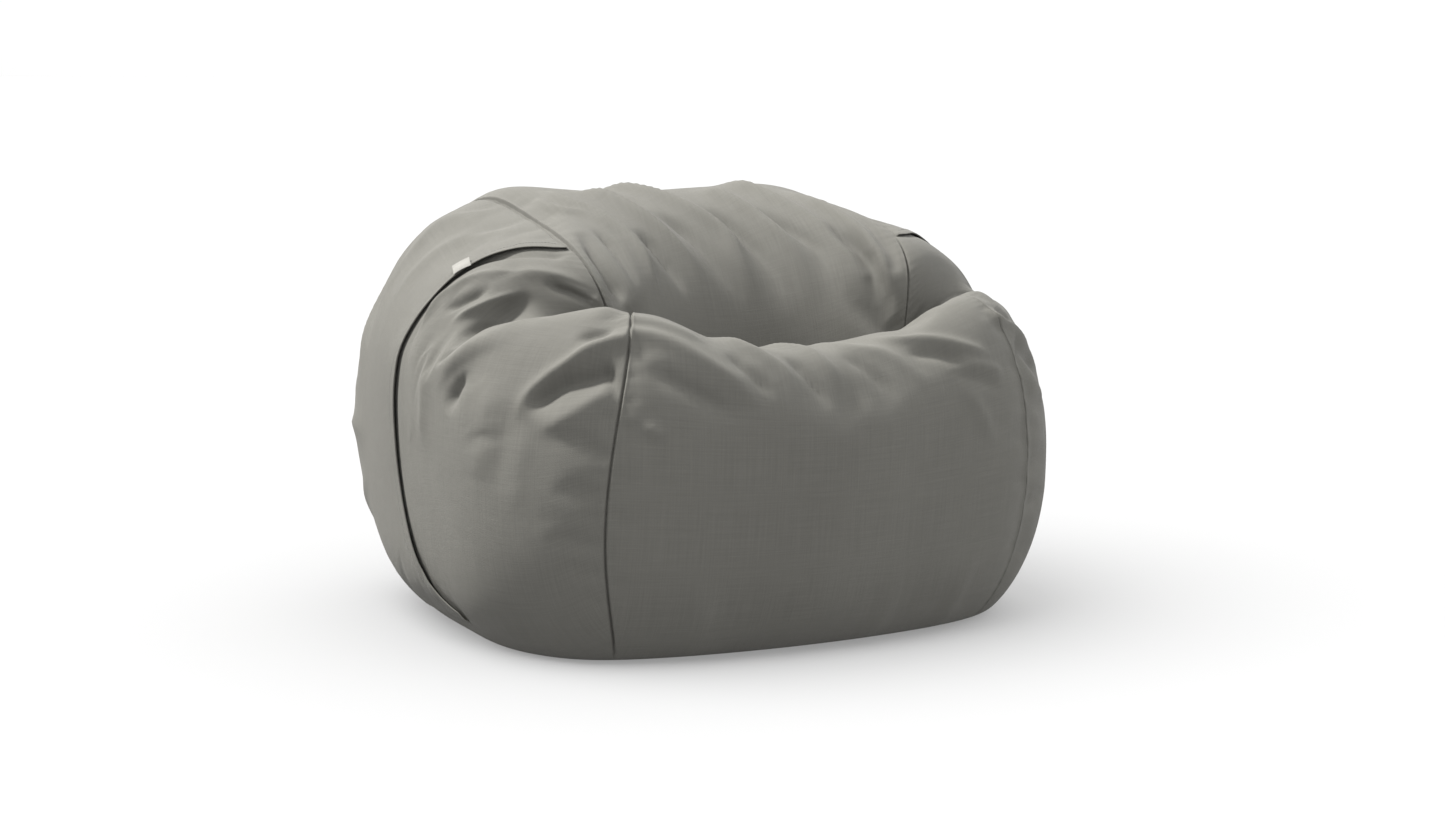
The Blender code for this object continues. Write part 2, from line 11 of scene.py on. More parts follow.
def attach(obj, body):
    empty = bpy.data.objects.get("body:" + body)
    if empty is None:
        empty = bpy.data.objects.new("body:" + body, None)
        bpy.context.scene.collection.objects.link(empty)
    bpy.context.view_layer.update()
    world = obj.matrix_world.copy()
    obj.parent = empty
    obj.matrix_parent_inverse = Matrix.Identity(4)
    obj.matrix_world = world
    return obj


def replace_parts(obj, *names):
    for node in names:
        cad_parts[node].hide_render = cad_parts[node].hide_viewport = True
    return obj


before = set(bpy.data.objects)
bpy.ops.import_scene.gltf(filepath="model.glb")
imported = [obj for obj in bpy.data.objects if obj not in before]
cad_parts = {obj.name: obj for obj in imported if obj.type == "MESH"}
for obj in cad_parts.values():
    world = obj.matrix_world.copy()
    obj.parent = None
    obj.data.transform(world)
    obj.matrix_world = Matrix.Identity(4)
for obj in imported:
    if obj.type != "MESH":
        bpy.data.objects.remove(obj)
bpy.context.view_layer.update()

# Metres. The front faces -Y, the base lies on z = 0, and x = 0 halves the chair.
# t runs round the side-view loop: base, front, lip, seat, backrest, crest, back.
# v runs out from the centre: 2 is the strip seam, 6 the middle of the side, and below 0 is the left half.

# Each row: centre y and z, strip seam half width, y and z, arm half width, y and z.
LOOP = """
-0.18 -0.03 0.285 -0.18 -0.03 0.37 -0.16 -0.04 # base
-0.39 -0.025 0.3 -0.355 -0.03 0.38 -0.28 -0.04
-0.505 0.025 0.34 -0.44 0.025 0.405 -0.375 0.03
-0.54 0.16 0.385 -0.475 0.17 0.435 -0.42 0.155 # front
-0.555 0.3 0.38 -0.495 0.325 0.43 -0.425 0.295
-0.545 0.415 0.345 -0.5 0.465 0.415 -0.41 0.41
-0.48 0.48 0.3 -0.44 0.565 0.39 -0.345 0.495 # lip
-0.39 0.43 0.27 -0.37 0.52 0.375 -0.285 0.52
-0.34 0.33 0.245 -0.335 0.42 0.365 -0.245 0.53 # seat
-0.275 0.285 0.24 -0.32 0.395 0.37 -0.22 0.535
-0.215 0.36 0.25 -0.32 0.465 0.385 -0.19 0.555
-0.19 0.47 0.27 -0.315 0.56 0.4 -0.155 0.58 # backrest
-0.14 0.58 0.29 -0.245 0.62 0.405 -0.1 0.585
-0.03 0.66 0.285 -0.085 0.645 0.405 -0.01 0.58 # crest
0.13 0.685 0.285 0.11 0.685 0.41 0.1 0.58
0.28 0.63 0.305 0.25 0.655 0.435 0.205 0.54
0.385 0.48 0.335 0.335 0.5 0.465 0.295 0.43
0.43 0.295 0.35 0.37 0.3 0.475 0.325 0.285 # back
0.41 0.11 0.345 0.34 0.11 0.44 0.29 0.125
0.33 -0.02 0.315 0.27 -0.025 0.385 0.2 0
0.18 -0.03 0.3 0.135 -0.035 0.37 0.085 -0.03
0.02 -0.03 0.29 -0.005 -0.035 0.37 -0.04 -0.04
"""
LOOP = np.array([line.split("#")[0].split() for line in LOOP.strip().splitlines()], float)
ROWS = len(LOOP)
BETWEEN_WIDTH = 0.55
BETWEEN_BLEND = 0.28
CAP_CENTRE = (-0.080, 0.300)
CAP_RADIUS = 0.170
CAP_HEIGHT = 0.9
CAP_START = math.radians(-115)
OUTER_HALF_WIDTH = 0.490
CAP_HALF_WIDTH = 0.503
POLE_HALF_WIDTH = 0.513
OUTER_SHRINK = 0.75
DEPTH_SHIFT = 0.0664
FLOOR_BLEND = 0.020

SEAM_V = 2.0
POLE_V = 6.0
BASE_FRONT_T = 1.15
BASE_REAR_T = 19.3
BASE_BULGE = (0.0, 0.65, 0.92, 1.03, 1.05, 1.00, 0.72, 0.0)  # how far the base passes the seam, in rows

HEM = (  # the rear flap's hem seen from the side, as (y, z)
    (-0.131, 0.603), (-0.075, 0.596), (-0.030, 0.571), (0.004, 0.533), (0.027, 0.485), (0.041, 0.431),
    (0.048, 0.373), (0.046, 0.314), (0.036, 0.256), (0.018, 0.201), (-0.008, 0.151), (-0.041, 0.107),
    (-0.083, 0.073), (-0.133, 0.049),
)
SEWN = (  # the flap's sewn edge, as (t, v)
    (12.00, 2.03), (13.00, 2.03), (14.00, 2.03), (15.00, 2.03), (16.00, 2.03), (17.00, 2.03),
    (18.00, 2.03), (18.60, 2.35), (19.05, 2.95), (19.60, 3.45), (21.00, 3.80), (22.60, 3.86),
)
FLAP_CLEAR = 0.0016
HEM_WIDTH = 0.020
HEM_COLUMNS = 14  # columns of the hem's mesh
FLAP_LIFTS = ((0.0048, 0.86, 0.11), (0.0012, 0.42, 0.16))  # how far the hem stands off, where, over what share
LABEL_TILT = math.radians(24)

# Pitch, length and thread radius of the stitches.
HEM_STITCH = (0.0052, 0.0040, 0.00045)
BASE_STITCH = (0.0052, 0.0040, 0.00040)
LABEL_STITCH = (0.0021, 0.0016, 0.00022)

ZIP_Y = 0.060
ZIP_HALF = 0.250
TAPE_HALF = 0.268
ZIP_LEVEL = 0.0109
LINER_ZIP_LEVEL = 0.0235
SLOT_HALF = (0.272, 0.0206)
LINER_SLOT_HALF = (0.290, 0.041)
GROOVE_HALF = (0.300, 0.045)
GROOVE_TOP = 0.031
BASE_STEP = 0.0085
TAPE_THICK = 0.00054
COIL_THICK = (0.00040, 0.00055)  # half the coil wire, across and along the zip
TOOTH_PITCH = 0.0021
LINER_DEPTH = (0.0030, 0.030)  # how far inside the cover, on the floor and above
BEAD_DEPTH = (0.0052, 0.034)

# Sizes that the sheets were cut to.
LABEL_FLAT = (0.019, 0.031)
BASE_CUTS = {"base_front_panel": ((0.76, 0.44), 0.257), "base_rear_panel": ((0.76, 0.28), 0.171)}

PANEL_STEP = 0.040  # in rows
CENTRE_STEP = PANEL_STEP * 1.07
SEAM_BAND = 0.12  # width beside a seam that has closer columns, in v
CREASE_HEIGHT = 0.010  # height of a fold at which ridges are lightened most as wear and valleys darkened most as painted shade
CLOTH_THICK = 0.0014
SIM_STEP = 0.1
SIM_FRAMES = 20
SIM_FLOOR = 0.012  # points lower than this are held
SIM_CAP = 0.012  # farthest that the simulation moves a point
SIM_BLUR = 9  # steps over which the swelling is evened out and taken off again
CLOTH = {
    "quality": 5, "mass": 0.25, "tension_stiffness": 12, "compression_stiffness": 12, "shear_stiffness": 6,
    "bending_stiffness": 1.5, "use_pressure": True, "uniform_pressure_force": 4, "shrink_min": -0.025,
    "vertex_group_mass": "held",
}
FOLD_MERGE = 2.2  # how sharply the higher of two crossing folds wins


def read_folds(text):
    """Folds listed one to a line: width and height in mm, the share of its length over which each end
    fades, then the t and v of points along it."""
    made = []
    for line in text.strip().splitlines():
        size, points = line.split(":")
        width, height, *fade = map(float, size.split())
        made.append((width, height, fade, [tuple(map(float, point.split())) for point in points.split(",")]))
    return made


LEFT_FOLDS = read_folds("""
9 9 0.2 0.2: 11.3 -4.5, 11.8 -3.85, 11.6 -3.4, 11.2 -2.95, 11.05 -2.5, 10.9 -2.1
10 -8 0.3 0.1: 12.6 -3.65, 12.3 -3.1, 11.9 -2.6, 11.7 -2.15
13 -13 0.35 0.35: 11.3 -3.9, 10.75 -3.65, 10.6 -3.4, 10.6 -3.15
21 -23 0.4 0.4: 9 -4.05, 8.9 -3.75, 9.1 -3.4, 9.65 -3.05, 10.3 -2.7
7 7 0.3 0.3: 10.1 -3.95, 10 -3.5, 10.1 -3.15, 10.4 -2.85
8 -9 0.3 0.1: 10.7 -2.6, 10.65 -2.35, 10.6 -2.15
7 6 0.2 0.1: 10.9 -2.5, 10.75 -2.3, 10.6 -2.1
22 11 0.3 0.1: 7.25 -4.9, 7 -4.4, 6.9 -3.95, 6.8 -3.6, 6.85 -3.2, 6.7 -2.8, 6.4 -2.4, 6.1 -2.1
10 -9 0.35 0.35: 5.7 -2.65, 5.65 -2.35, 5.6 -2.15
12 14 0.35 0: 4.7 -3.5, 5.05 -3.3, 5.25 -3, 5.35 -2.7, 5.45 -2.45, 5.5 -2.05
20 -19 0.3 0.1: 4.8 -3.35, 5 -3.1, 5.1 -2.8, 5.05 -2.4, 5.1 -2.1
18 9 0.35 0.1: 4.5 -3.2, 4.6 -2.85, 4.7 -2.5, 4.8 -2.3, 4.85 -2.1
16 -15 0.4 0.4: 5.6 -5, 5.95 -4.7, 6.15 -4.4, 6.3 -4.1
24 4 0.3 0.4: 5.8 -3.7, 5.1 -3.95, 4.5 -4.1, 3.85 -4.3, 3.2 -4.5
16 5 0.3 0.4: 8.4 -4.75, 7.8 -5.2, 6.5 -5.55, 5 -5.6, 4 -5.5
20 3 0.3 0.4: 4.7 -3.25, 4.15 -3.4, 3.7 -3.5, 3.3 -3.65
20 -4 0.3 0.5: 5.2 -3.5, 4.6 -3.7, 4.15 -3.8, 3.5 -3.95
""")
FRONT_FOLDS = read_folds("""
14 10 0 0.35: 5.6 -1.97, 5.55 -1.75, 5.45 -1.5, 5.3 -1.25, 5.1 -1, 4.85 -0.8, 4.6 -0.65
17 -12 0.25 0.4: 5.2 -1.8, 5.05 -1.65, 4.9 -1.35, 4.75 -1.1, 4.55 -0.85
12 6 0 0.4: 5.9 -1.97, 5.85 -1.75, 5.75 -1.4, 5.7 -1.15
9 6 0.4 0.4: 4.4 -1.75, 4.4 -1.65, 4.3 -1.5
13 8 0.3 0.4: 6.7 -1, 6.3 -0.95, 5.9 -0.8, 5.65 -0.65, 5.35 -0.5, 5 -0.4, 4.7 -0.35
11 -7 0.3 0.4: 5.6 -1.05, 5.3 -0.85, 5.05 -0.7, 4.8 -0.6
13 8 0.3 0.4: 6.8 -0.45, 6.4 -0.35, 6.1 -0.2, 5.6 -0.1, 5.2 0, 4.9 0.1
10 -7 0.3 0.4: 5.75 -0.45, 5.35 -0.3, 5.05 -0.2, 4.75 -0.1
13 7 0.3 0.4: 6.7 0.05, 6.3 0.12, 5.9 0.3, 5.65 0.5, 5.3 0.65, 5 0.75, 4.7 0.85
10 -6 0.3 0.4: 5.8 0.1, 5.35 0.3, 5.05 0.4, 4.75 0.45
9 8 0.3 0.3: 6.3 0.5, 5.85 0.75, 5.7 0.95, 5.45 1.15, 5.2 1.35, 4.9 1.65
10 -8 0.3 0.3: 5.5 0.7, 5.4 0.9, 5.2 1.1, 4.9 1.3
9 6 0.3 0.3: 5.15 1.05, 5.05 1.2, 4.9 1.45, 4.7 1.7
9 -5 0.3 0.3: 5 1, 4.85 1.2, 4.7 1.4, 4.55 1.6
12 5 0.3 0.4: 4.8 1.05, 4.55 1.2, 4.25 1.3, 3.9 1.4
""")
BACKREST_FOLDS = read_folds("""
9 8 0.2 0.3: 13.6 -1.75, 13.1 -1.65, 12.85 -1.4, 12.55 -1.25, 12.2 -1.1
10 14 0.2 0.3: 13.8 -1.6, 13.15 -1.45, 12.8 -1.25, 12.4 -1.1, 11.9 -1, 11.45 -1, 11 -1
9 -14 0.3 0.75: 12.55 -1.45, 12.1 -1.35, 11.65 -1.3, 11.25 -1.3, 10.95 -1.3
13 18 0.2 0.7: 13.7 -1.1, 13.3 -0.95, 12.8 -0.75, 12.3 -0.55, 11.8 -0.4, 11.3 -0.35, 10.8 -0.3
11 -14 0.3 0.5: 12.5 -0.9, 12.05 -0.75, 11.6 -0.65, 11.2 -0.6
14 16 0.2 0.4: 14.2 -0.65, 13.8 -0.5, 13.4 -0.35, 12.85 -0.1, 12.35 0.1, 11.9 0.15, 11.4 0.2, 11 0.2
12 -14 0.3 0.8: 12.9 -0.55, 12.55 -0.35, 12.1 -0.2, 11.7 -0.1, 11.3 0, 11 0
15 16 0.2 0.5: 13.6 0.25, 13.45 0.3, 12.8 0.5, 12.25 0.65, 11.7 0.75, 11.25 0.8, 10.85 0.8
12 -16 0.3 0.65: 13 0, 12.6 0.2, 12.1 0.35, 11.6 0.45, 11.2 0.5, 10.95 0.5
15 16 0.2 0.85: 13.9 0.65, 13.3 0.85, 12.7 1.05, 12 1.2, 11.4 1.3, 10.9 1.4, 10.5 1.4
12 -16 0.3 0.9: 12.9 0.6, 12.5 0.75, 12 0.95, 11.5 1, 11 1.1, 10.7 1.1
13 12 0.3 0.2: 13.5 1.2, 13 1.35, 12.3 1.5, 11.65 1.6, 11.05 1.7, 10.6 1.75
11 -12 0.3 0.7: 12.4 1.2, 12 1.3, 11.5 1.45, 11 1.5, 10.65 1.6
11 -12 0.4 0.3: 12.1 -1.75, 11.8 -1.72, 11.4 -1.65, 10.9 -1.6
""")
# Fullness of the shoulders: the left one high, the right one low.
STRIP_SHOULDERS = read_folds("""
60 12 0.4 0.4: 13.2 -1.6, 14 -1.75, 14.9 -1.8, 15.8 -1.7
60 -9 0.4 0.4: 12.6 1.75, 13.4 1.8, 14.3 1.8, 15.3 1.7
""")
# From the crest down the back, then up from the base.
BACK_FOLDS = read_folds("""
20 7 0.3 0.5: 13.9 -1.5, 14.8 -1.2, 15.8 -1.1, 16.8 -1.2
16 -6 0.3 0.5: 14 -1, 15 -0.7, 16 -0.55, 17 -0.6
20 6 0.3 0.5: 14.2 -0.4, 15 -0.2, 16 -0.1, 17.2 -0.15
18 -5 0.3 0.5: 14.1 0.2, 15 0.35, 16 0.4, 17 0.3
20 7 0.3 0.5: 13.9 0.8, 14.8 0.85, 15.8 0.9, 16.9 0.8
16 6 0.3 0.5: 14 1.5, 15 1.4, 16 1.45, 16.8 1.6
16 7 0.3 0.4: 19 -1.2, 18.2 -1, 17.3 -0.9
18 6 0.3 0.4: 19.1 0.2, 18.3 0.25, 17.4 0.2
16 7 0.3 0.4: 19 1.3, 18.2 1.1, 17.5 1
18 -6 0.3 0.4: 19.1 -0.5, 18.4 -0.4, 17.6 -0.3
""")
# Inside the seat.
SEAT_FOLDS = read_folds("""
14 7 0.3 0.4: 8.4 -1.6, 8.9 -1.2, 9.4 -0.9, 10 -0.8
14 -7 0.3 0.4: 8.2 -1.1, 8.8 -0.7, 9.3 -0.5
14 7 0.3 0.4: 7.6 -0.5, 8.2 -0.3, 8.8 -0.1, 9.4 0.1
14 -6 0.3 0.4: 7.7 0.2, 8.4 0.35, 9.2 0.4
14 7 0.3 0.4: 7.6 0.8, 8.3 0.75, 9 0.7, 9.8 0.75
14 8 0.1 0.4: 8.6 2, 8.9 1.6, 9.3 1.2, 9.9 1
""")
# Low on the front.
LOW_FRONT_FOLDS = read_folds("""
20 4 0.3 0.5: 1.5 -1.3, 2.2 -1.1, 3 -1.2
20 4 0.3 0.5: 1.5 0.4, 2.3 0.5, 3.1 0.4
20 4 0.3 0.5: 1.5 1.4, 2.2 1.25, 3 1.3
""")
# The same fullness where the rear flaps cover it, and the flaps' own folds, given for the right one.
SIDE_SHOULDERS = read_folds("""
62 16 0.4 0.4: 13.2 -2.4, 14 -2.55, 14.9 -2.6, 15.8 -2.5
60 -9 0.4 0.4: 12.6 2.3, 13.4 2.4, 14.3 2.5, 15.3 2.4
""")
FLAP_FOLDS = read_folds("""
18 6 0.3 0.4: 12.8 2.3, 13.4 2.8, 13.9 3.4, 14.4 3.9
16 5.25 0.3 0.4: 13.6 2.2, 14.1 2.6, 14.7 3.2, 15.3 3.7
20 6 0.3 0.4: 15 2.2, 15.4 2.9, 15.8 3.7, 16 4.3
18 -4.5 0.3 0.4: 14.6 2.4, 15.2 3.2, 15.6 4
20 6 0.3 0.4: 17.2 2.3, 17 3, 16.9 3.8, 16.7 4.5
18 5.25 0.3 0.4: 18.5 2.6, 18.2 3.2, 17.8 3.9, 17.5 4.4
""")


def cage():
    """Control points of the right half, row by row from the centre to the middle of the side."""
    centre, seam, arm = LOOP[:, :2], LOOP[:, 2:5], LOOP[:, 5:]
    cap = np.array(CAP_CENTRE)
    angles = CAP_START - 2 * math.pi * np.arange(ROWS) / ROWS
    ring = np.column_stack([np.cos(angles), CAP_HEIGHT * np.sin(angles)]) * CAP_RADIUS
    between = centre * (1 - BETWEEN_BLEND) + seam[:, 1:] * BETWEEN_BLEND
    rows = np.array([
        np.column_stack([np.zeros(ROWS), centre]),
        np.column_stack([seam[:, 0] * BETWEEN_WIDTH, between]),
        seam,
        arm,
        np.column_stack([np.full(ROWS, OUTER_HALF_WIDTH), cap + (arm[:, 1:] - cap) * OUTER_SHRINK]),
        np.column_stack([np.full(ROWS, CAP_HALF_WIDTH), cap + ring]),
        np.column_stack([np.full(ROWS, POLE_HALF_WIDTH), np.tile(cap, (ROWS, 1))]),
    ])
    rows += [0.0, DEPTH_SHIFT, 0.0]
    return np.concatenate([[rows[1] * [-1, 1, 1]], rows, [np.roll(rows[-2], ROWS // 2, axis=0)]])


CAGE = cage()


def weights(u):
    """Uniform cubic B-spline weights."""
    return np.stack([
        (1 - u) ** 3,
        3 * u ** 3 - 6 * u ** 2 + 4,
        -3 * u ** 3 + 3 * u ** 2 + 3 * u + 1,
        u ** 3,
    ], axis=-1) / 6


def form(t, v):
    """Point of the outer form at t round the loop and v out from the centre."""
    t, v = np.broadcast_arrays(np.asarray(t, float), np.asarray(v, float))
    side = np.where(v < 0, -1.0, 1.0)
    v = np.minimum(np.abs(v), POLE_V)
    row = np.floor(t).astype(int)
    column = np.minimum(np.floor(v).astype(int), int(POLE_V) - 1)
    along = weights(t - row)
    across = weights(v - column)
    point = np.zeros(t.shape + (3,))
    for a, b in np.ndindex(4, 4):
        point += (across[..., a] * along[..., b])[..., None] * CAGE[column + a, (row + b - 1) % ROWS]
    height = point[..., 2]
    turned = (height + FLOOR_BLEND) ** 2 / (4 * FLOOR_BLEND)
    point[..., 2] = np.where(height > FLOOR_BLEND, height, np.where(height < -FLOOR_BLEND, 0.0, turned))
    point[..., 0] *= side
    return point


def unit(vectors, spare=0.0):
    """Vectors scaled to length 1. What is spare keeps a vector of no length from dividing by zero."""
    return vectors / (np.linalg.norm(vectors, axis=-1, keepdims=True) + spare)


def normals(t, v):
    """Outward unit normals of the form."""
    t, v = np.broadcast_arrays(np.asarray(t, float), np.asarray(v, float))
    step = 0.02
    held = np.clip(np.abs(v), 0.0, POLE_V - 0.05) * np.where(v < 0, -1.0, 1.0)
    across = form(t, held + step) - form(t, held - step)
    return unit(np.cross(across, form(t + step, held) - form(t - step, held)))


def smooth_step(x):
    """0 to 1 with a soft start and end, as x goes from 0 to 1."""
    x = np.clip(x, 0, 1)
    return x * x * (3 - 2 * x)


def smooth_line(points, share):
    """Catmull-Rom line through points, at shares of its number of steps."""
    points = np.asarray(points, float)
    ends = np.concatenate([[2 * points[0] - points[1]], points, [2 * points[-1] - points[-2]]])
    at = np.asarray(share, float) * (len(points) - 1)
    i = np.minimum(np.floor(at).astype(int), len(points) - 2)
    u = (at - i)[:, None]
    a, b, c, d = ends[i], ends[i + 1], ends[i + 2], ends[i + 3]
    return 0.5 * (2 * b + (c - a) * u + (2 * a - 5 * b + 4 * c - d) * u ** 2
                  + (3 * b - a - 3 * c + d) * u ** 3)


def near_line(points, line):
    """Distance from each point to a line, and the share of its length at the nearest place."""
    best = np.full(len(points), np.inf)
    along = np.zeros(len(points))
    steps = np.linalg.norm(np.diff(line, axis=0), axis=1)
    start = np.concatenate([[0], np.cumsum(steps)])
    for i, (a, b) in enumerate(zip(line, line[1:])):
        share = np.clip(((points - a) @ (b - a)) / max(steps[i] ** 2, 1e-12), 0, 1)
        gap = np.linalg.norm(points - a - share[:, None] * (b - a), axis=1)
        closer = gap < best
        best[closer] = gap[closer]
        along[closer] = (start[i] + share[closer] * steps[i]) / start[-1]
    return best, along


def mirrored(folds, shift, scale):
    """The folds of one half on the other, moved a little along the loop so that the halves differ."""
    return [(width * 1.05, height * scale, fade,
             [(t + shift * math.sin(3 * v), -v * (1 + 0.02 * math.cos(5 * t))) for t, v in line])
            for width, height, fade, line in folds]


LOW_FOLDS = [fold for fold in LEFT_FOLDS if max(t for t, _ in fold[3]) < 8.5]
FOLDS = (LEFT_FOLDS + FRONT_FOLDS + BACKREST_FOLDS + STRIP_SHOULDERS + BACK_FOLDS + SEAT_FOLDS + LOW_FRONT_FOLDS
         + mirrored(LOW_FOLDS, 0.12, 0.6))


def fold_height(t, v, folds=FOLDS):
    """Height of the listed folds over the form, in metres."""
    points = form(t, v)
    flat = points.reshape(-1, 3)
    ridges = np.zeros(len(flat))
    valleys = np.zeros(len(flat))
    for width, tall, fade, line in folds:
        centre = smooth_line(line, np.linspace(0, 1, 5 * len(line)))
        path = form(centre[:, 0], centre[:, 1])
        reach = 3.2 * width / 1000
        near = np.all((flat > path.min(axis=0) - reach) & (flat < path.max(axis=0) + reach), axis=1)
        if not near.any():
            continue
        gap, along = near_line(flat[near], path)
        shape = np.exp(-(gap * 1000 / width) ** 1.7)
        for length, place in zip(fade, (along, 1 - along)):
            if length:
                shape = shape * smooth_step(0.02 + place / length)
        kind = ridges if tall > 0 else valleys
        kind[near] += (shape * abs(tall) / 1000) ** FOLD_MERGE
    height = ridges ** (1 / FOLD_MERGE) - valleys ** (1 / FOLD_MERGE)
    return height.reshape(points.shape[:-1])


def polar(points):
    """(t, v) as points of a plane in which the middle of the side is the origin."""
    points = np.asarray(points, float)
    angle = points[..., 0] * 2 * math.pi / ROWS
    radius = POLE_V - points[..., 1]
    return np.stack([radius * np.cos(angle), radius * np.sin(angle)], axis=-1)


def from_polar(points):
    """The t, v of points of that plane."""
    angle = np.arctan2(points[..., 1], points[..., 0])
    return (angle * ROWS / (2 * math.pi)) % ROWS, POLE_V - np.linalg.norm(points, axis=-1)


def hem_line(share):
    """The hem in the polar plane: each point of the form that lies on it as seen from the side."""
    line = smooth_line(HEM, share)
    t, v = np.meshgrid(np.arange(0, ROWS, 0.05), np.arange(SEAM_V, POLE_V, 0.05), indexing="ij")
    plane = polar(np.stack([t, v], axis=-1)).reshape(-1, 2)
    seen = form(t, v)[..., 1:].reshape(-1, 2)
    at = np.array([plane[np.argmin(((seen - point) ** 2).sum(axis=1))] for point in line])
    step = 1e-3
    for _ in range(5):
        here = form(*from_polar(at))[:, 1:]
        by_a = (form(*from_polar(at + [step, 0]))[:, 1:] - here) / step
        by_b = (form(*from_polar(at + [0, step]))[:, 1:] - here) / step
        at += np.linalg.solve(np.stack([by_a, by_b], axis=-1), (line - here)[..., None])[..., 0] * 0.8
    return at


HEM_PLANE = hem_line(np.linspace(0, 1, 66))
SEWN_PLANE = smooth_line(polar(SEWN), np.linspace(0, 1, 66))
HEM_PLANE[0] = SEWN_PLANE[0]
HEM_PLANE[-1] = SEWN_PLANE[-1]
HEM_PATH = form(*from_polar(HEM_PLANE))


def in_outline(points, outline):
    """Which points of a plane lie inside a closed outline."""
    inside = np.zeros(len(points), bool)
    for (x0, y0), (x1, y1) in zip(outline, np.roll(outline, -1, axis=0)):
        if y0 != y1:
            crosses = (y0 > points[:, 1]) != (y1 > points[:, 1])
            inside ^= crosses & (points[:, 0] < (x1 - x0) * (points[:, 1] - y0) / (y1 - y0) + x0)
    return inside


def under_flap(t, v):
    """1 where the rear flap covers the side, 0 where it doesn't."""
    plane = polar(np.stack([t % ROWS, np.abs(v)], axis=-1)).reshape(-1, 2)
    return in_outline(plane, np.concatenate([HEM_PLANE, SEWN_PLANE[::-1]])).reshape(t.shape)


def start_v(t):
    """v at which a side panel starts: the strip seam, or the outline of the base."""
    knots = np.linspace(BASE_REAR_T, BASE_FRONT_T + ROWS, len(BASE_BULGE))
    return SEAM_V + np.interp(np.where(t < BASE_FRONT_T, t + ROWS, t), knots, BASE_BULGE, left=0, right=0)


SIM_ROWS = int(round(ROWS / SIM_STEP))
SIM_COLUMNS = int(round(2 * POLE_V / SIM_STEP)) - 1


def grid_faces(rows, columns, loop_rows=False):
    """Quads of a grid of points, as tuples of indices."""
    i, j = np.meshgrid(np.arange(rows if loop_rows else rows - 1), np.arange(columns - 1), indexing="ij")
    k = (i + 1) % rows
    quads = np.stack([i * columns + j, i * columns + j + 1, k * columns + j + 1, k * columns + j], axis=-1)
    return [tuple(quad) for quad in quads.reshape(-1, 4).tolist()]


def whole_grid():
    """t, v of a grid over the whole form, and its faces, closed by the left pole and then the right one."""
    t, v = np.meshgrid(np.arange(SIM_ROWS) * SIM_STEP, (np.arange(SIM_COLUMNS) + 1) * SIM_STEP - POLE_V,
                       indexing="ij")
    faces = grid_faces(SIM_ROWS, SIM_COLUMNS, True)
    for column, pole, turned in ((0, t.size, False), (SIM_COLUMNS - 1, t.size + 1, True)):
        for i in range(SIM_ROWS):
            a, b = i * SIM_COLUMNS + column, (i + 1) % SIM_ROWS * SIM_COLUMNS + column
            faces.append((b, a, pole) if turned else (a, b, pole))
    return t, v, faces


def poles(inset=0.0):
    """The middles of the two sides, moved inwards."""
    return form(np.zeros(2), np.array([-POLE_V, POLE_V])) + [[inset, 0, 0], [-inset, 0, 0]]


def put(name, data):
    """Adds an object to the scene."""
    made = bpy.data.objects.new(name, data)
    bpy.context.scene.collection.objects.link(made)
    return made


# ---- cloth simulation of the whole cover ----


def simulate():
    """Blows the cover up as cloth held along its seams and base, and returns how far each point moves."""
    t, v, faces = whole_grid()
    rest = form(t, v) + normals(t, v) * fold_height(t, v)[..., None]
    points = np.concatenate([rest.reshape(-1, 3), poles()])
    mesh = bpy.data.meshes.new("cover_cloth")
    mesh.from_pydata(points.tolist(), [], faces)
    helper = put("cover_cloth", mesh)
    at_seam = (np.abs(np.abs(v) - SEAM_V) < 0.5 * SIM_STEP) & (t > BASE_FRONT_T) & (t < BASE_REAR_T)
    low = rest[..., 2] < SIM_FLOOR
    held = helper.vertex_groups.new(name="held")
    held.add(np.flatnonzero(at_seam | low).tolist(), 1.0, "REPLACE")
    cloth = helper.modifiers.new("cloth", "CLOTH")
    for key, value in CLOTH.items():
        setattr(cloth.settings, key, value)
    cloth.settings.effector_weights.gravity = 0
    scene = bpy.context.scene
    for step in range(1, SIM_FRAMES + 1):
        scene.frame_set(step)
    blown = helper.evaluated_get(bpy.context.evaluated_depsgraph_get()).to_mesh()
    after = np.empty(len(points) * 3, np.float32)
    blown.vertices.foreach_get("co", after)
    scene.frame_set(1)
    bpy.data.objects.remove(helper)
    moved = after.reshape(-1, 3) - points
    far = np.linalg.norm(moved, axis=1)
    moved *= (SIM_CAP * np.tanh(far / SIM_CAP) / np.maximum(far, 1e-9))[:, None]
    field = np.zeros((SIM_ROWS, SIM_COLUMNS + 2, 3))
    field[:, 1:-1] = moved[:-2].reshape(SIM_ROWS, SIM_COLUMNS, 3)
    outward = normals(t, v)
    swelling = (field[:, 1:-1] * outward).sum(axis=-1)
    span = 2 * SIM_BLUR + 1
    for _ in range(2):
        swelling = sum(np.roll(swelling, k, axis=0) for k in range(-SIM_BLUR, SIM_BLUR + 1)) / span
        wide = np.pad(swelling, ((0, 0), (SIM_BLUR, SIM_BLUR)), mode="edge")
        swelling = sum(wide[:, k:k + SIM_COLUMNS] for k in range(span)) / span
    free = ~(at_seam | low)
    field[:, 1:-1] -= outward * (swelling * free)[..., None]
    field[:, 1:-1] *= smooth_step((rest[..., 2] - 0.01) / 0.18)[..., None]
    field[:, 0] = field[:, 1].mean(axis=0)
    field[:, -1] = field[:, -2].mean(axis=0)
    return field


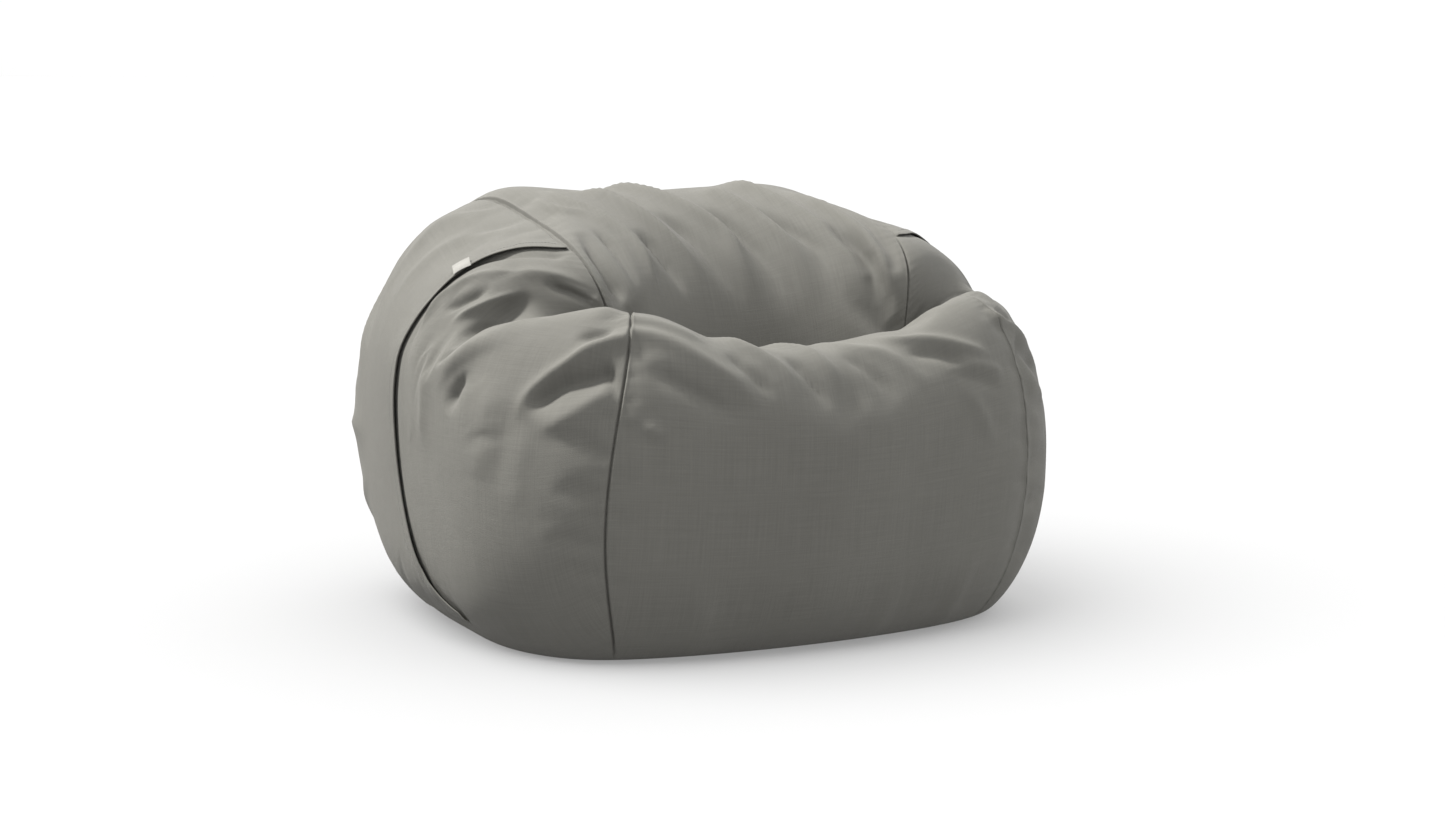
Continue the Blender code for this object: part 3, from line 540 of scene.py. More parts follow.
def drape(t, v):
    """How far the simulation moves the cover at t, v."""
    t, v = np.broadcast_arrays(np.asarray(t, float), np.asarray(v, float))
    if DRAPE is None:
        return np.zeros(t.shape + (3,))
    row = np.floor(t / SIM_STEP).astype(int)
    place = np.clip((v + POLE_V) / SIM_STEP, 0, SIM_COLUMNS + 0.999)
    column = np.floor(place).astype(int)
    along = weights(t / SIM_STEP - row)
    across = weights(place - column)
    moved = np.zeros(t.shape + (3,))
    for a, b in np.ndindex(4, 4):
        at = np.clip(column + a - 1, 0, SIM_COLUMNS + 1)
        moved += (across[..., a] * along[..., b])[..., None] * DRAPE[(row + b - 1) % SIM_ROWS, at]
    return moved


# ---- meshes ----

def add_piece(name, points, faces, surface, weave=None, crease=None, thick=0.0, flip=False):
    """Makes a smooth-shaded mesh that rides on the bag, with weave coordinates in metres as its UVs."""
    mesh = bpy.data.meshes.new(name)
    if flip:
        faces = [face[::-1] for face in faces]
    mesh.from_pydata(np.asarray(points, float).reshape(-1, 3).tolist(), [], faces)
    mesh.shade_smooth()
    if weave is not None:
        corner = np.empty(len(mesh.loops), np.int32)
        mesh.loops.foreach_get("vertex_index", corner)
        layer = mesh.uv_layers.new(name="weave")
        layer.data.foreach_set("uv", np.asarray(weave, np.float32).reshape(-1, 2)[corner].ravel())
    # the crease attribute drives the canvas's lighter wear on ridges and painted shade in valleys
    attribute = mesh.attributes.new("crease", "FLOAT", "POINT")
    if crease is not None:
        attribute.data.foreach_set("value", np.asarray(crease, np.float32).ravel())
    mesh.materials.append(surface)
    made = put(name, mesh)
    if thick:
        shell = made.modifiers.new("thickness", "SOLIDIFY")
        shell.thickness = thick
        shell.offset = -1
    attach(made, "bag")
    return made


def lengths(points, axis):
    """Length so far along one axis of a grid of points."""
    steps = np.linalg.norm(np.diff(points, axis=axis), axis=-1)
    first = np.zeros_like(np.take(steps, [0], axis=axis))
    return np.concatenate([first, np.cumsum(steps, axis=axis)], axis=axis)


def side_weave_table():
    """Places on the flat-cut side panel, over a grid of t and v."""
    t, v = np.meshgrid(np.arange(0, ROWS + 0.01, 0.1), np.linspace(POLE_V, SEAM_V, 81), indexing="ij")
    reach = lengths(form(t, v), 1)
    middle = form(t[:, 40], v[:, 40])[:, 1:] - form(0.0, POLE_V)[1:]
    angle = np.arctan2(middle[:, 1], middle[:, 0])
    return np.stack([reach * np.cos(angle)[:, None], reach * np.sin(angle)[:, None]], axis=-1)


SIDE_WEAVE = side_weave_table()


def side_weave(t, v):
    """Place on the flat-cut side panel of a point at t, v."""
    row = (t % ROWS) / 0.1
    column = (POLE_V - np.abs(v)) / (POLE_V - SEAM_V) * 80
    i, j = np.floor(row).astype(int), np.clip(np.floor(column).astype(int), 0, 79)
    a, b = (row - i)[..., None], (column - j)[..., None]
    i = np.minimum(i, len(SIDE_WEAVE) - 2)
    return ((SIDE_WEAVE[i, j] * (1 - a) + SIDE_WEAVE[i + 1, j] * a) * (1 - b)
            + (SIDE_WEAVE[i, j + 1] * (1 - a) + SIDE_WEAVE[i + 1, j + 1] * a) * b)


def seam_shape(gap, t, phase, lip):
    """Height beside a plain seam: a narrow valley, a turned edge and small puckers, fading out at the floor."""
    mm = np.abs(gap) * 1000
    height = -5.5 * np.exp(-(mm / 1.9) ** 2) - 2.2 * np.exp(-mm / 12)
    height += lip * np.exp(-((mm - 3.4) / 2.0) ** 2)
    pucker = np.sin(37 * t + 2 * np.sin(5.3 * t) + phase) * (0.6 + 0.4 * np.sin(3.1 * t + phase))
    height += 0.8 * pucker * np.exp(-mm / 20) * (1 - np.exp(-mm / 4))
    raised = form(t, np.full(np.shape(t), SEAM_V))[..., 2]
    return height / 1000 * smooth_step((raised - 0.003) / 0.04)


def seam_steps(end):
    """Columns from a seam inwards: close together beside it, then at even steps."""
    near = np.array([-0.005, 0.008, 0.015, 0.022, 0.030, 0.040, 0.052, 0.068, 0.090])
    return np.concatenate([near, np.linspace(SEAM_BAND, end, int(round((end - SEAM_BAND) / PANEL_STEP)) + 1)])


def settle(points):
    """Keeps points on or above the floor."""
    points[..., 2] = np.maximum(points[..., 2], 0.0002)
    return points


def centre_panel(surface):
    """The long strip from the base over the front, seat, backrest and crest and down the back."""
    half = SEAM_V - seam_steps(SEAM_V)
    v = np.concatenate([-half[:-1], half[::-1]])
    close = np.array([0.0, 0.01, 0.02, 0.035, 0.055])
    t = np.concatenate([BASE_FRONT_T + close, np.arange(BASE_FRONT_T + 0.08, BASE_REAR_T - 0.07, CENTRE_STEP),
                        BASE_REAR_T - close[::-1]])
    t, v = np.meshgrid(t, v, indexing="ij")
    points = form(t, v)
    seam = SEAM_V * np.where(v < 0, -1.0, 1.0)
    across = np.linalg.norm(form(t, seam * 1.02) - form(t, seam * 0.98), axis=-1) / (0.04 * SEAM_V)
    fold = fold_height(t, v)
    height = fold + seam_shape((SEAM_V - np.abs(v)) * across, t, np.where(v < 0, 0.4, 2.1), 1.3)
    ends = np.minimum(t - BASE_FRONT_T, BASE_REAR_T - t) * 0.11 * 1000
    height -= 0.003 * np.exp(-(ends / 2.5) ** 2)
    weave = np.stack([lengths(points, 1), lengths(points, 0)], axis=-1)
    middle = v.shape[1] // 2
    weave[..., 0] -= weave[:, middle:middle + 1, 0]
    weave[..., 1] = weave[:, middle:middle + 1, 1]
    points = settle(points + normals(t, v) * height[..., None] + drape(t, v))
    made = add_piece("cover_centre", points, grid_faces(*v.shape), surface,
                     weave, fold / CREASE_HEIGHT, CLOTH_THICK)
    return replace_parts(made, "centre_panel")


def hem_gap(points, sign):
    """Distance from the line under the rear flap's hem."""
    flat = points.reshape(-1, 3) * [sign, 1, 1]
    return near_line(flat, HEM_PATH)[0].reshape(points.shape[:-1])


def side_panel(name, sign, node, surface):
    """One side from its seam to its middle, pressed in where the rear flap lies over it."""
    rows = int(round(ROWS / PANEL_STEP))
    t = np.arange(rows) * ROWS / rows
    start = start_v(t)
    near = seam_steps(1.0)
    near = near[near < SEAM_BAND]
    far = np.linspace(0.0, 1.0, 74)[:-1]
    start = start[:, None]
    v = np.concatenate([start + near, start + SEAM_BAND + far * (POLE_V - start - SEAM_BAND)], axis=1)
    t = np.repeat(t[:, None], v.shape[1], axis=1)
    start = np.repeat(start, v.shape[1], axis=1)
    points = form(t, v * sign)
    across = np.linalg.norm(form(t, start + 0.04) - form(t, start), axis=-1) / 0.04
    gap = hem_gap(points, sign)
    covered = under_flap(t, v) * smooth_step(gap / 0.03)
    fold = fold_height(t, v * sign) * (1 - covered)
    height = fold + seam_shape((v - start) * across, t, 1.2 - sign, 0.0)
    height -= 0.002 * np.exp(-(gap / 0.009) ** 2) + 0.002 * covered
    points = settle(points + normals(t, v * sign) * height[..., None] + drape(t, v * sign))
    pole = form(0.0, POLE_V * sign) + drape(0.0, POLE_V * sign)
    faces = grid_faces(*v.shape, loop_rows=True)
    columns, last = v.shape[1], rows * v.shape[1]
    faces += [(i * columns + columns - 1, last, (i + 1) % rows * columns + columns - 1) for i in range(rows)]
    weave = np.concatenate([side_weave(t, v).reshape(-1, 2), [[0.0, 0.0]]])
    crease = np.append((fold / CREASE_HEIGHT).ravel(), 0.0)
    made = add_piece(name, np.concatenate([points.reshape(-1, 3), [pole]]), faces, surface,
                     weave, crease, CLOTH_THICK, flip=sign < 0)
    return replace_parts(made, node)




def flap_width(share, sign=1, vectors=False):
    """Distance from the flap's sewn edge to its hem at shares of its length, or the vectors between them."""
    hem, sewn = (from_polar(smooth_line(line, share)) for line in (HEM_PLANE, SEWN_PLANE))
    across = form(hem[0], hem[1] * sign) - form(sewn[0], sewn[1] * sign)
    return across if vectors else np.linalg.norm(across, axis=-1)


def flap_layer(share, step, sign):
    """t, v, cover, normal and height of the flap over it, at shares of the flap's length and width."""
    hem, sewn = smooth_line(HEM_PLANE, share), smooth_line(SEWN_PLANE, share)
    t, v = from_polar(sewn[:, None] + step[..., None] * (hem - sewn)[:, None])
    height = flap_height(share, step, t, v, flap_width(share), sign)
    return t, v, form(t, v * sign) + drape(t, v * sign), normals(t, v * sign), height


def flap_height(share, step, t, v, width, sign):
    """Height of the flap's outer face over the form, with its gathered hem, folds and seam."""
    to_hem = (1 - step) * width[:, None]
    ends = (np.sin(np.pi * np.clip(share, 0, 1)) ** 0.3)[:, None]
    s = share[:, None]
    lift = 0.0008
    for height, place, spread in FLAP_LIFTS:
        lift = lift + height * np.exp(-((s - place) / spread) ** 2)
    if sign > 0:
        lift = lift * smooth_step((0.72 - s) / 0.2)
    to_seam = step * width[:, None]
    height = (FLAP_CLEAR + CLOTH_THICK) * smooth_step((to_seam + 0.001) / 0.009) - 0.0005
    height += seam_shape(to_seam, t, 1.2 - sign, 0.0) * (v < SEAM_V + 0.3)
    height += lift * ends * smooth_step((step - 0.35) / 0.65)
    height += fold_height(t, v, FLAP_FOLDS) * smooth_step(to_hem / 0.03) * smooth_step(to_seam / 0.03)
    height += fold_height(t, v * sign, SIDE_SHOULDERS + STRIP_SHOULDERS)
    band = smooth_step((HEM_WIDTH + 0.0015 - to_hem) / 0.003)
    groove = np.exp(-((to_hem - HEM_WIDTH + 0.003) / 0.0012) ** 2)
    height += (0.0014 * band - 0.0009 * groove) * ends
    return height


def rear_flap(name, sign, node, surface, thread):
    """The panel round the rear of a side, sewn along the strip, with its hem folded under and stitched."""
    share = np.linspace(0, 1, 241)
    band = np.minimum((HEM_WIDTH + 0.003) / np.maximum(flap_width(share), 1e-5), 0.6)[:, None]
    inner = np.linspace(0, 1, 48)
    outer = np.linspace(0, 1, HEM_COLUMNS + 1)[1:]
    step = np.concatenate([(1 - band) * inner, 1 - band * (1 - outer)], axis=1)
    t, v, base, normal, height = flap_layer(share, step, sign)
    top = base + normal * height[..., None]
    outward = unit(base[:, -1] - base[:, -3], 1e-9)
    thick = (0.0006 + 0.0022 * np.sin(np.pi * share) ** 0.3)[:, None]
    turn = [top[:, -1] + outward * (math.sin(a) * thick / 2) - normal[:, -1] * ((1 - math.cos(a)) * thick / 2)
            for a in map(math.radians, (30, 60, 90, 120, 150))]
    folded = [top[:, -1 - k] - normal[:, -1 - k] * thick for k in range(HEM_COLUMNS)]
    grid = np.concatenate([top, np.stack(turn + folded, axis=1)], axis=1)
    weave = side_weave(t, v)
    edge = weave[:, -1:]
    under_hem = edge * 2 - weave[:, :-HEM_COLUMNS - 1:-1]
    weave = np.concatenate([weave, np.repeat(edge, len(turn), axis=1), under_hem], axis=1)
    made = add_piece(name, settle(grid), grid_faces(*grid.shape[:2]), surface,
                     weave, thick=0.0009, flip=sign < 0)
    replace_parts(made, node)
    share = smooth_line(share[:, None], np.linspace(0.02, 0.98, 230))[:, 0]
    step = (1 - (HEM_WIDTH - 0.003) / flap_width(share))[:, None]
    _, _, base, normal, height = flap_layer(share, step, sign)
    path = (base + normal * (height + 0.0003)[..., None])[:, 0]
    row = stitches(f"{name}_stitch", path, normal[:, 0], HEM_STITCH, thread)


def tube_faces(first, rings, ring, turned=False):
    """Faces of a tube made of rings of points, with its two ends."""
    faces = []
    for i in range(rings - 1):
        for j in range(ring):
            a, b = first + i * ring + j, first + i * ring + (j + 1) % ring
            faces.append((a, a + ring, b + ring, b) if turned else (a, b, b + ring, a + ring))
    last = first + (rings - 1) * ring
    return faces + [tuple(range(first + ring - 1, first - 1, -1)), tuple(range(last, last + ring))]


def stitches(name, path, normal, size, thread):
    """A row of short rounded threads laid along a path. The size is their pitch, length and radius."""
    pitch, length, radius = size
    along = lengths(path, 0)
    points, faces, ring = [], [], 6
    angles = np.linspace(0, 2 * math.pi, ring, endpoint=False)
    for k in range(max(1, int(along[-1] / pitch))):
        stations = (k + 0.5) * pitch + np.array([-0.5, -0.36, 0.0, 0.36, 0.5]) * length
        if stations[0] < 0 or stations[-1] > along[-1]:
            continue
        centre, up = (np.stack([np.interp(stations, along, line[:, i]) for i in range(3)], axis=-1)
                      for line in (path, normal))
        side = unit(np.cross(unit(centre[-1] - centre[0], 1e-12), up), 1e-12)
        around = radius * np.array([0.35, 0.95, 1.1, 0.95, 0.35])
        sink = radius * np.array([-1.6, -0.1, 0.35, -0.1, -1.6])
        faces += tube_faces(len(points), len(stations), ring)
        for c, u, s, r, d in zip(centre, up, side, around, sink):
            points += [c + u * (d + r * math.sin(a)) + s * r * math.cos(a) for a in angles]
    return add_piece(name, np.array(points), faces, thread)


# ---- materials ----

def add_node(tree, kind, inputs=None, **settings):
    """A node with its settings, and its inputs set or linked."""
    node = tree.nodes.new(kind)
    for key, value in settings.items():
        setattr(node, key, value)
    for key, value in (inputs or {}).items():
        if isinstance(value, bpy.types.NodeSocket):
            tree.links.new(value, node.inputs[key])
        else:
            node.inputs[key].default_value = value
    return node


class Nodes:
    """A material being made: adds nodes, and links them as they are made."""

    def __init__(self, name, colour, roughness, **sockets):
        self.material = bpy.data.materials.new(name)
        self.material.use_nodes = True
        self.tree = self.material.node_tree
        self.shader = self.tree.nodes["Principled BSDF"]
        self.shader.inputs["Base Color"].default_value = (*colour, 1.0)
        self.shader.inputs["Roughness"].default_value = roughness
        for socket, value in sockets.items():
            self.shader.inputs[socket.replace("_", " ")].default_value = value

    def add(self, kind, inputs=None, **settings):
        return add_node(self.tree, kind, inputs, **settings)

    def solid(self):
        """The place in the piece, in metres."""
        return self.add("ShaderNodeTexCoord").outputs["Object"]

    def maths(self, operation, a, b=0.0, c=0.0):
        return self.add("ShaderNodeMath", {0: a, 1: b, 2: c}, operation=operation).outputs[0]

    def plus(self, a, b, share=None):
        """a + b, or a + b * share."""
        return self.maths("ADD", a, b if share is None else self.maths("MULTIPLY", b, share))

    def wave(self, value, pitch):
        """A sine that repeats every pitch."""
        return self.maths("SINE", self.maths("MULTIPLY", value, 2 * math.pi / pitch))

    def place(self, scale, where):
        """A point scaled along each axis."""
        return self.add("ShaderNodeMapping", {"Vector": where, "Scale": scale}).outputs[0]

    def noise(self, where, scale, detail=3.0, roughness=0.5, distortion=0.0):
        inputs = {"Vector": where, "Scale": scale, "Detail": detail, "Roughness": roughness,
                  "Distortion": distortion}
        return self.add("ShaderNodeTexNoise", inputs).outputs["Fac"]

    def ranged(self, value, out_low, out_high, low=0.3, high=0.7):
        """The value's range from low to high, spread over another range."""
        return self.add("ShaderNodeMapRange", {0: value, 1: low, 2: high, 3: out_low, 4: out_high}).outputs[0]

    def tint(self, colour, factor):
        """The colour times a factor."""
        return self.add("ShaderNodeVectorMath", {0: colour, "Scale": factor}, operation="SCALE").outputs[0]

    def mix(self, factor, a, b):
        """The colour between a and b."""
        return self.add("ShaderNodeMix", {0: factor, 6: (*a, 1.0), 7: (*b, 1.0)}, data_type="RGBA").outputs[2]

    def finish(self, colour, roughness, *bumps):
        """Links the colour and roughness, and chains bumps given as (height, distance in metres, strength)."""
        inputs = {}
        for height, distance, strength in bumps:
            inputs = {"Height": height, "Distance": distance, "Strength": strength, **inputs}
            inputs = {"Normal": self.add("ShaderNodeBump", inputs).outputs[0]}
        for socket, value in (("Base Color", colour), ("Roughness", roughness), ("Normal", inputs["Normal"])):
            self.tree.links.new(value, self.shader.inputs[socket])
        return self.material


def canvas(name, dark, light, pitch=0.0011, streak=0.16, slub=1.0):
    """Plain-woven canvas: crossed threads, uneven yarns, soft wear lightening fold ridges, painted shade
    darkening fold valleys, and a short nap.
    """
    n = Nodes(name, light, 0.88, Sheen_Weight=0.04, Sheen_Roughness=0.45, Specular_IOR_Level=0.25,
              Sheen_Tint=(0.92, 0.91, 0.87, 1.0))
    uv = n.add("ShaderNodeUVMap", uv_map="weave").outputs[0]
    solid = n.solid()
    crease = n.add("ShaderNodeAttribute", attribute_name="crease").outputs["Fac"]
    x, y, _ = n.add("ShaderNodeSeparateXYZ", {0: uv}).outputs
    over = n.maths("MULTIPLY", n.wave(x, 2 * pitch), n.wave(y, 2 * pitch))
    warp, weft = (n.maths("MULTIPLY", n.maths("ABSOLUTE", n.wave(way, pitch)), 0.5) for way in (x, y))
    weave = n.maths("ADD", n.maths("MULTIPLY", over, 0.5), n.plus(warp, weft))
    ends = n.noise(n.place((480.0, 9.0, 1.0), uv), 1.0, 3.0, 0.65)
    picks = n.noise(n.place((9.0, 520.0, 1.0), uv), 1.0, 3.0, 0.65)
    slubs = n.noise(n.place((26.0, 420.0, 1.0), uv), 1.0, 2.0, 0.5)
    yarns = n.plus(n.maths("SUBTRACT", ends, 0.5), n.maths("SUBTRACT", picks, 0.5))
    blotch = n.noise(solid, 3.2, 4.0, 0.55, 0.4)
    dust = n.noise(solid, 19.0, 5.0, 0.6)
    factor = n.plus(1.0, yarns, streak * 2)
    factor = n.plus(factor, n.maths("SUBTRACT", n.ranged(slubs, 0.0, 1.0, 0.62, 0.8), 0.1), 0.10 * slub)
    factor = n.plus(factor, n.maths("SUBTRACT", weave, 0.35), 0.10)
    factor = n.plus(factor, n.maths("SUBTRACT", dust, 0.5), 0.07)
    # lighter wear on fold ridges and painted shade in fold valleys, from the crease attribute
    factor = n.plus(factor, n.ranged(crease, -1.0, 1.0, -1.2, 1.2), 0.05)
    soft = n.noise(solid, 34.0, 3.0, 0.5, 0.6)
    return n.finish(n.tint(n.mix(n.ranged(blotch, 0.0, 1.0), dark, light), factor),
                    n.plus(n.ranged(dust, 0.80, 0.93), weave, -0.05),
                    (soft, 0.0016, 0.35), (yarns, 0.00035, 0.6), (weave, 0.00022, 0.6))


def thread(name, colour):
    """Twisted sewing thread."""
    n = Nodes(name, colour, 0.55, Sheen_Weight=0.25, Sheen_Roughness=0.4)
    solid = n.solid()
    twist = n.add("ShaderNodeTexWave", {"Vector": solid, "Scale": 900.0, "Distortion": 1.5, "Detail": 1.0},
                  bands_direction="DIAGONAL").outputs["Fac"]
    shade = n.noise(solid, 60.0)
    return n.finish(n.tint(n.mix(twist, [c * 0.7 for c in colour], colour), n.ranged(shade, 0.9, 1.1)),
                    n.ranged(twist, 0.65, 0.5, 0, 1), (twist, 0.0002, 0.6))


def tape(name, colour):
    """Ribbed woven zip tape."""
    n = Nodes(name, colour, 0.75, Sheen_Weight=0.15, Sheen_Roughness=0.5)
    solid = n.solid()
    x, y, _ = n.add("ShaderNodeSeparateXYZ", {0: solid}).outputs
    weave = n.maths("MULTIPLY", n.plus(n.wave(y, 0.0011), n.wave(x, 0.0014), 0.5), 0.5)
    shade = n.noise(solid, 45.0, 4.0)
    factor = n.plus(n.ranged(shade, 0.85, 1.15), weave, 0.12)
    return n.finish(n.tint(n.mix(shade, [c * 0.8 for c in colour], colour), factor),
                    n.ranged(shade, 0.7, 0.85), (weave, 0.0003, 0.7))


def nylon(name, colour):
    """Glossy coil of a zip, scuffed along its tops."""
    n = Nodes(name, colour, 0.35, Specular_IOR_Level=0.5)
    solid = n.solid()
    scuff = n.noise(solid, 220.0, 4.0, 0.6)
    return n.finish(n.mix(n.ranged(scuff, 0.0, 0.5, 0.55, 0.75), colour, [c * 2.2 + 0.01 for c in colour]),
                    n.ranged(scuff, 0.28, 0.5), (scuff, 0.0001, 0.4))


def metal(name, colour):
    """Cast and plated zip metal with fine scratches."""
    n = Nodes(name, colour, 0.3, Metallic=1.0)
    solid = n.solid()
    scratch = n.noise(n.place((90.0, 900.0, 300.0), solid), 1.0, 4.0, 0.7)
    cloud = n.noise(solid, 160.0, 3.0)
    return n.finish(n.tint(n.mix(cloud, [c * 0.75 for c in colour], colour), n.ranged(scratch, 0.9, 1.08)),
                    n.plus(n.ranged(scratch, 0.22, 0.38), n.ranged(cloud, -0.04, 0.08)),
                    (scratch, 0.00006, 0.5))


def beads(name):
    """Packed expanded beads, domed, with painted shade in the gaps between them."""
    n = Nodes(name, (0.86, 0.86, 0.84), 0.6, Subsurface_Weight=0.1)
    solid = n.solid()
    cell = n.add("ShaderNodeTexVoronoi", {"Vector": solid, "Scale": 240.0})
    dome_and_gap_shade = n.ranged(cell.outputs["Distance"], 1.0, 0.0, 0.0, 0.6)
    # painted shade: each bead darkens from its middle to the gaps between beads
    return n.finish(n.mix(dome_and_gap_shade, (0.62, 0.62, 0.60), (0.88, 0.88, 0.86)),
                    n.ranged(dome_and_gap_shade, 0.75, 0.5, 0, 1), (dome_and_gap_shade, 0.0015, 0.8))


def pale_floor():
    """Pale studio floor that keeps its shadows light."""
    n = Nodes("studio_floor", (0.28, 0.28, 0.28), 0.95, Specular_IOR_Level=0.0)
    n.shader.inputs["Emission Color"].default_value = (1.0, 1.0, 1.0, 1.0)
    n.shader.inputs["Emission Strength"].default_value = FLOOR_GLOW
    return n.material


# ---- the smaller and hidden pieces ----

def side_label(surface, thread_look):
    """A blank woven tab sewn over the left hem by its two short ends."""
    share = np.array([0.147, 0.167, 0.187])
    step = (1 - 0.0060 / flap_width(share))[:, None]
    _, _, base, normal, height = flap_layer(share, step, -1)
    place = (base + normal * (height + 0.0026)[..., None])[:, 0]
    normal = normal[1, 0]
    along = place[2] - place[0]
    along = unit(along - normal * along.dot(normal))
    across = np.cross(normal, along)
    across *= math.copysign(1.0, across.dot(flap_width(share[1:2], -1, vectors=True)[0]))
    cos, sin = math.cos(LABEL_TILT), math.sin(LABEL_TILT)
    normal, across = normal * cos + across * sin, across * cos - normal * sin
    half_width, half_length = LABEL_FLAT[0] / 2, LABEL_FLAT[1] / 2
    a, b = np.meshgrid(np.linspace(-1, 1, 25), np.linspace(-1, 1, 17), indexing="ij")
    lift = 0.0016 * (1 - a ** 2) + 0.0006 * np.sin(2.6 * b + 0.6) * (1 - a ** 4) + 0.0002
    waist = 1 - 0.012 * (1 - a ** 2)
    points = (place[1] + a[..., None] * along * half_length + (b * waist)[..., None] * across * half_width
              + lift[..., None] * normal)
    weave = np.stack([a * half_length, b * half_width], axis=-1)
    made = add_piece("label_tab", points, grid_faces(*a.shape), surface, weave, thick=0.0006)
    if np.dot(np.cross(along, across), normal) < 0:
        made.data.flip_normals()
    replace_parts(made, "side_label")
    line = np.linspace(-0.86, 0.86, 30)[:, None]
    up = np.repeat(normal[None], len(line), axis=0)
    for tag, sign in (("upper", 1), ("lower", -1)):
        path = place[1] + sign * along * 0.0138 + line * across * half_width + normal * 0.0008
        stitches(f"label_stitch_{tag}", path, up, LABEL_STITCH, thread_look)


def base_outline():
    """Outline of the base in plan."""
    half = np.linspace(-SEAM_V, SEAM_V, 61)
    front = form(np.full(half.shape, BASE_FRONT_T), half)
    rear = form(np.full(half.shape, BASE_REAR_T), half)
    t = np.linspace(BASE_REAR_T, BASE_FRONT_T + ROWS, 90)[1:-1]
    right = form(t, start_v(t % ROWS))
    loop = np.concatenate([front, right[::-1], rear[::-1], right * [-1, 1, 1]])[:, :2]
    keep = np.linalg.norm(loop - np.roll(loop, 1, axis=0), axis=1) > 1e-5
    return loop[keep]


def base_panel(name, sign, node, surface, thread_look):
    """The front or rear part of the base, turned in along the zip and topstitched beside it."""
    edge = ZIP_Y + sign * 0.0002
    kept = [tuple(point) for point in base_outline() if sign * (point[1] - edge) > 0.004]
    turn = max(range(len(kept)), key=lambda i: math.dist(kept[i], kept[i - 1]))
    kept = kept[turn:] + kept[:turn]
    x_end = abs(kept[0][0]) + 0.001
    slot_x, slot_y = SLOT_HALF[0], ZIP_Y + sign * SLOT_HALF[1]
    first = math.copysign(1.0, kept[-1][0])
    inner = [(first * x, edge) for x in np.linspace(x_end, slot_x, 8)]
    inner += [(first * x, slot_y) for x in np.linspace(slot_x, -slot_x, 91)]
    inner += [(first * x, edge) for x in np.linspace(-slot_x, -x_end, 8)]
    loop = [*kept, *inner]
    rim = np.array([*loop, loop[0]])
    spots = np.stack(np.meshgrid(np.arange(-0.44, 0.44, BASE_STEP), np.arange(-0.42, 0.42, BASE_STEP),
                                 indexing="ij"), axis=-1).reshape(-1, 2)
    spots = spots[in_outline(spots, rim[:-1]) & (near_line(spots, rim)[0] > 0.004)]
    edges = [(i, (i + 1) % len(loop)) for i in range(len(loop))]
    flat, _, faces, *_ = delaunay_2d_cdt([*loop, *map(tuple, spots.tolist())], edges, [], 1, 1e-6)
    flat = np.array([tuple(p) for p in flat])
    gap = near_line(flat, rim)[0]
    x, y = flat.T
    ripple = np.sin(23 * x + 3 * np.sin(9 * y)) * np.sin(17 * y + 2 * np.sin(7 * x))
    rise = 0.0004 + 0.0006 * (ripple + 1) * smooth_step(gap / 0.05) + 0.0007 * np.exp(-(gap / 0.002) ** 2)
    points = np.column_stack([flat, rise])
    # the rise, given as crease, lightens the ripples' tops as wear and paints shade in their dips
    made = add_piece(name, points, [tuple(face)[::-1] for face in faces], surface,
                     flat, rise * 300, 0.0009)
    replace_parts(made, node)
    x = np.linspace(-slot_x, slot_x, 120)
    down = np.tile([0.0, 0.0, -1.0], (len(x), 1))
    for row, away in (("near", 0.0035), ("far", 0.0095)):
        path = np.column_stack([x, np.full(len(x), slot_y + sign * away), np.full(len(x), 0.0004)])
        stitches(f"{name}_stitch_{row}", path, down, BASE_STITCH, thread_look)
    flat, area = BASE_CUTS[node]


def zip_tape(name, node, sign, level, foot_low, wall, foot_out, surface):
    """A tape with a thick corded edge at the teeth, a fold down and a sewn foot."""
    cord = wall + 0.0035
    profile = np.array([
        (foot_out, foot_low + 0.00030), ((foot_out + wall) / 2, foot_low + 0.00034),
        (wall + 0.0010, foot_low + 0.0003), (wall + 0.0001, foot_low + 0.0008),
        (wall - 0.0003, (foot_low + level) / 2), (wall - 0.0001, level - 0.0008),
        (wall - 0.0010, level), (cord * 0.66, level + 0.00006), (cord * 0.4, level - 0.00005), (0.0036, level),
    ])
    fine = smooth_line(profile, np.linspace(0, 1, 46))
    x = np.linspace(-TAPE_HALF, TAPE_HALF, 161)
    wave = 0.00008 * np.sin(2 * math.pi * x / 0.031)
    grid = np.zeros((len(x), len(fine), 3))
    grid[..., 0] = x[:, None]
    grid[..., 1] = ZIP_Y + sign * fine[None, :, 0]
    grid[..., 2] = fine[None, :, 1] + wave[:, None]
    made = add_piece(name, grid, grid_faces(*grid.shape[:2]), surface,
                     grid[..., :2], thick=TAPE_THICK, flip=sign < 0)
    made.modifiers["thickness"].offset = 0
    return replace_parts(made, node)


def zip_teeth(name, node, sign, level, surface):
    """One row of a coil zip: round loops set side by side, joined by the cord inside them."""
    turns = int(2 * ZIP_HALF / TOOTH_PITCH)
    per_turn, ring = 10, 6
    steps = turns * per_turn + 1
    angle = np.linspace(0, 2 * math.pi * turns, steps)
    x = np.linspace(-ZIP_HALF + 0.0005, ZIP_HALF - 0.0005, steps) + (0.0 if sign > 0 else TOOTH_PITCH / 4)
    x = np.minimum(x, ZIP_HALF - 0.0004)
    centre = np.column_stack([x, ZIP_Y + sign * (0.0020 + 0.0008 * np.cos(angle)),
                              level + 0.0010 * np.sin(angle)])
    ahead = unit(np.gradient(centre, axis=0))
    side = unit(np.cross(ahead, np.column_stack([np.zeros(steps), sign * np.cos(angle), np.sin(angle)])))
    out = np.cross(side, ahead)
    turned = np.linspace(0, 2 * math.pi, ring, endpoint=False)[:, None]
    grid = (centre[:, None] + out[:, None] * np.cos(turned) * COIL_THICK[0]
            + side[:, None] * np.sin(turned) * COIL_THICK[1])
    made = add_piece(name, grid, tube_faces(0, steps, ring, turned=True), surface)
    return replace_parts(made, node)


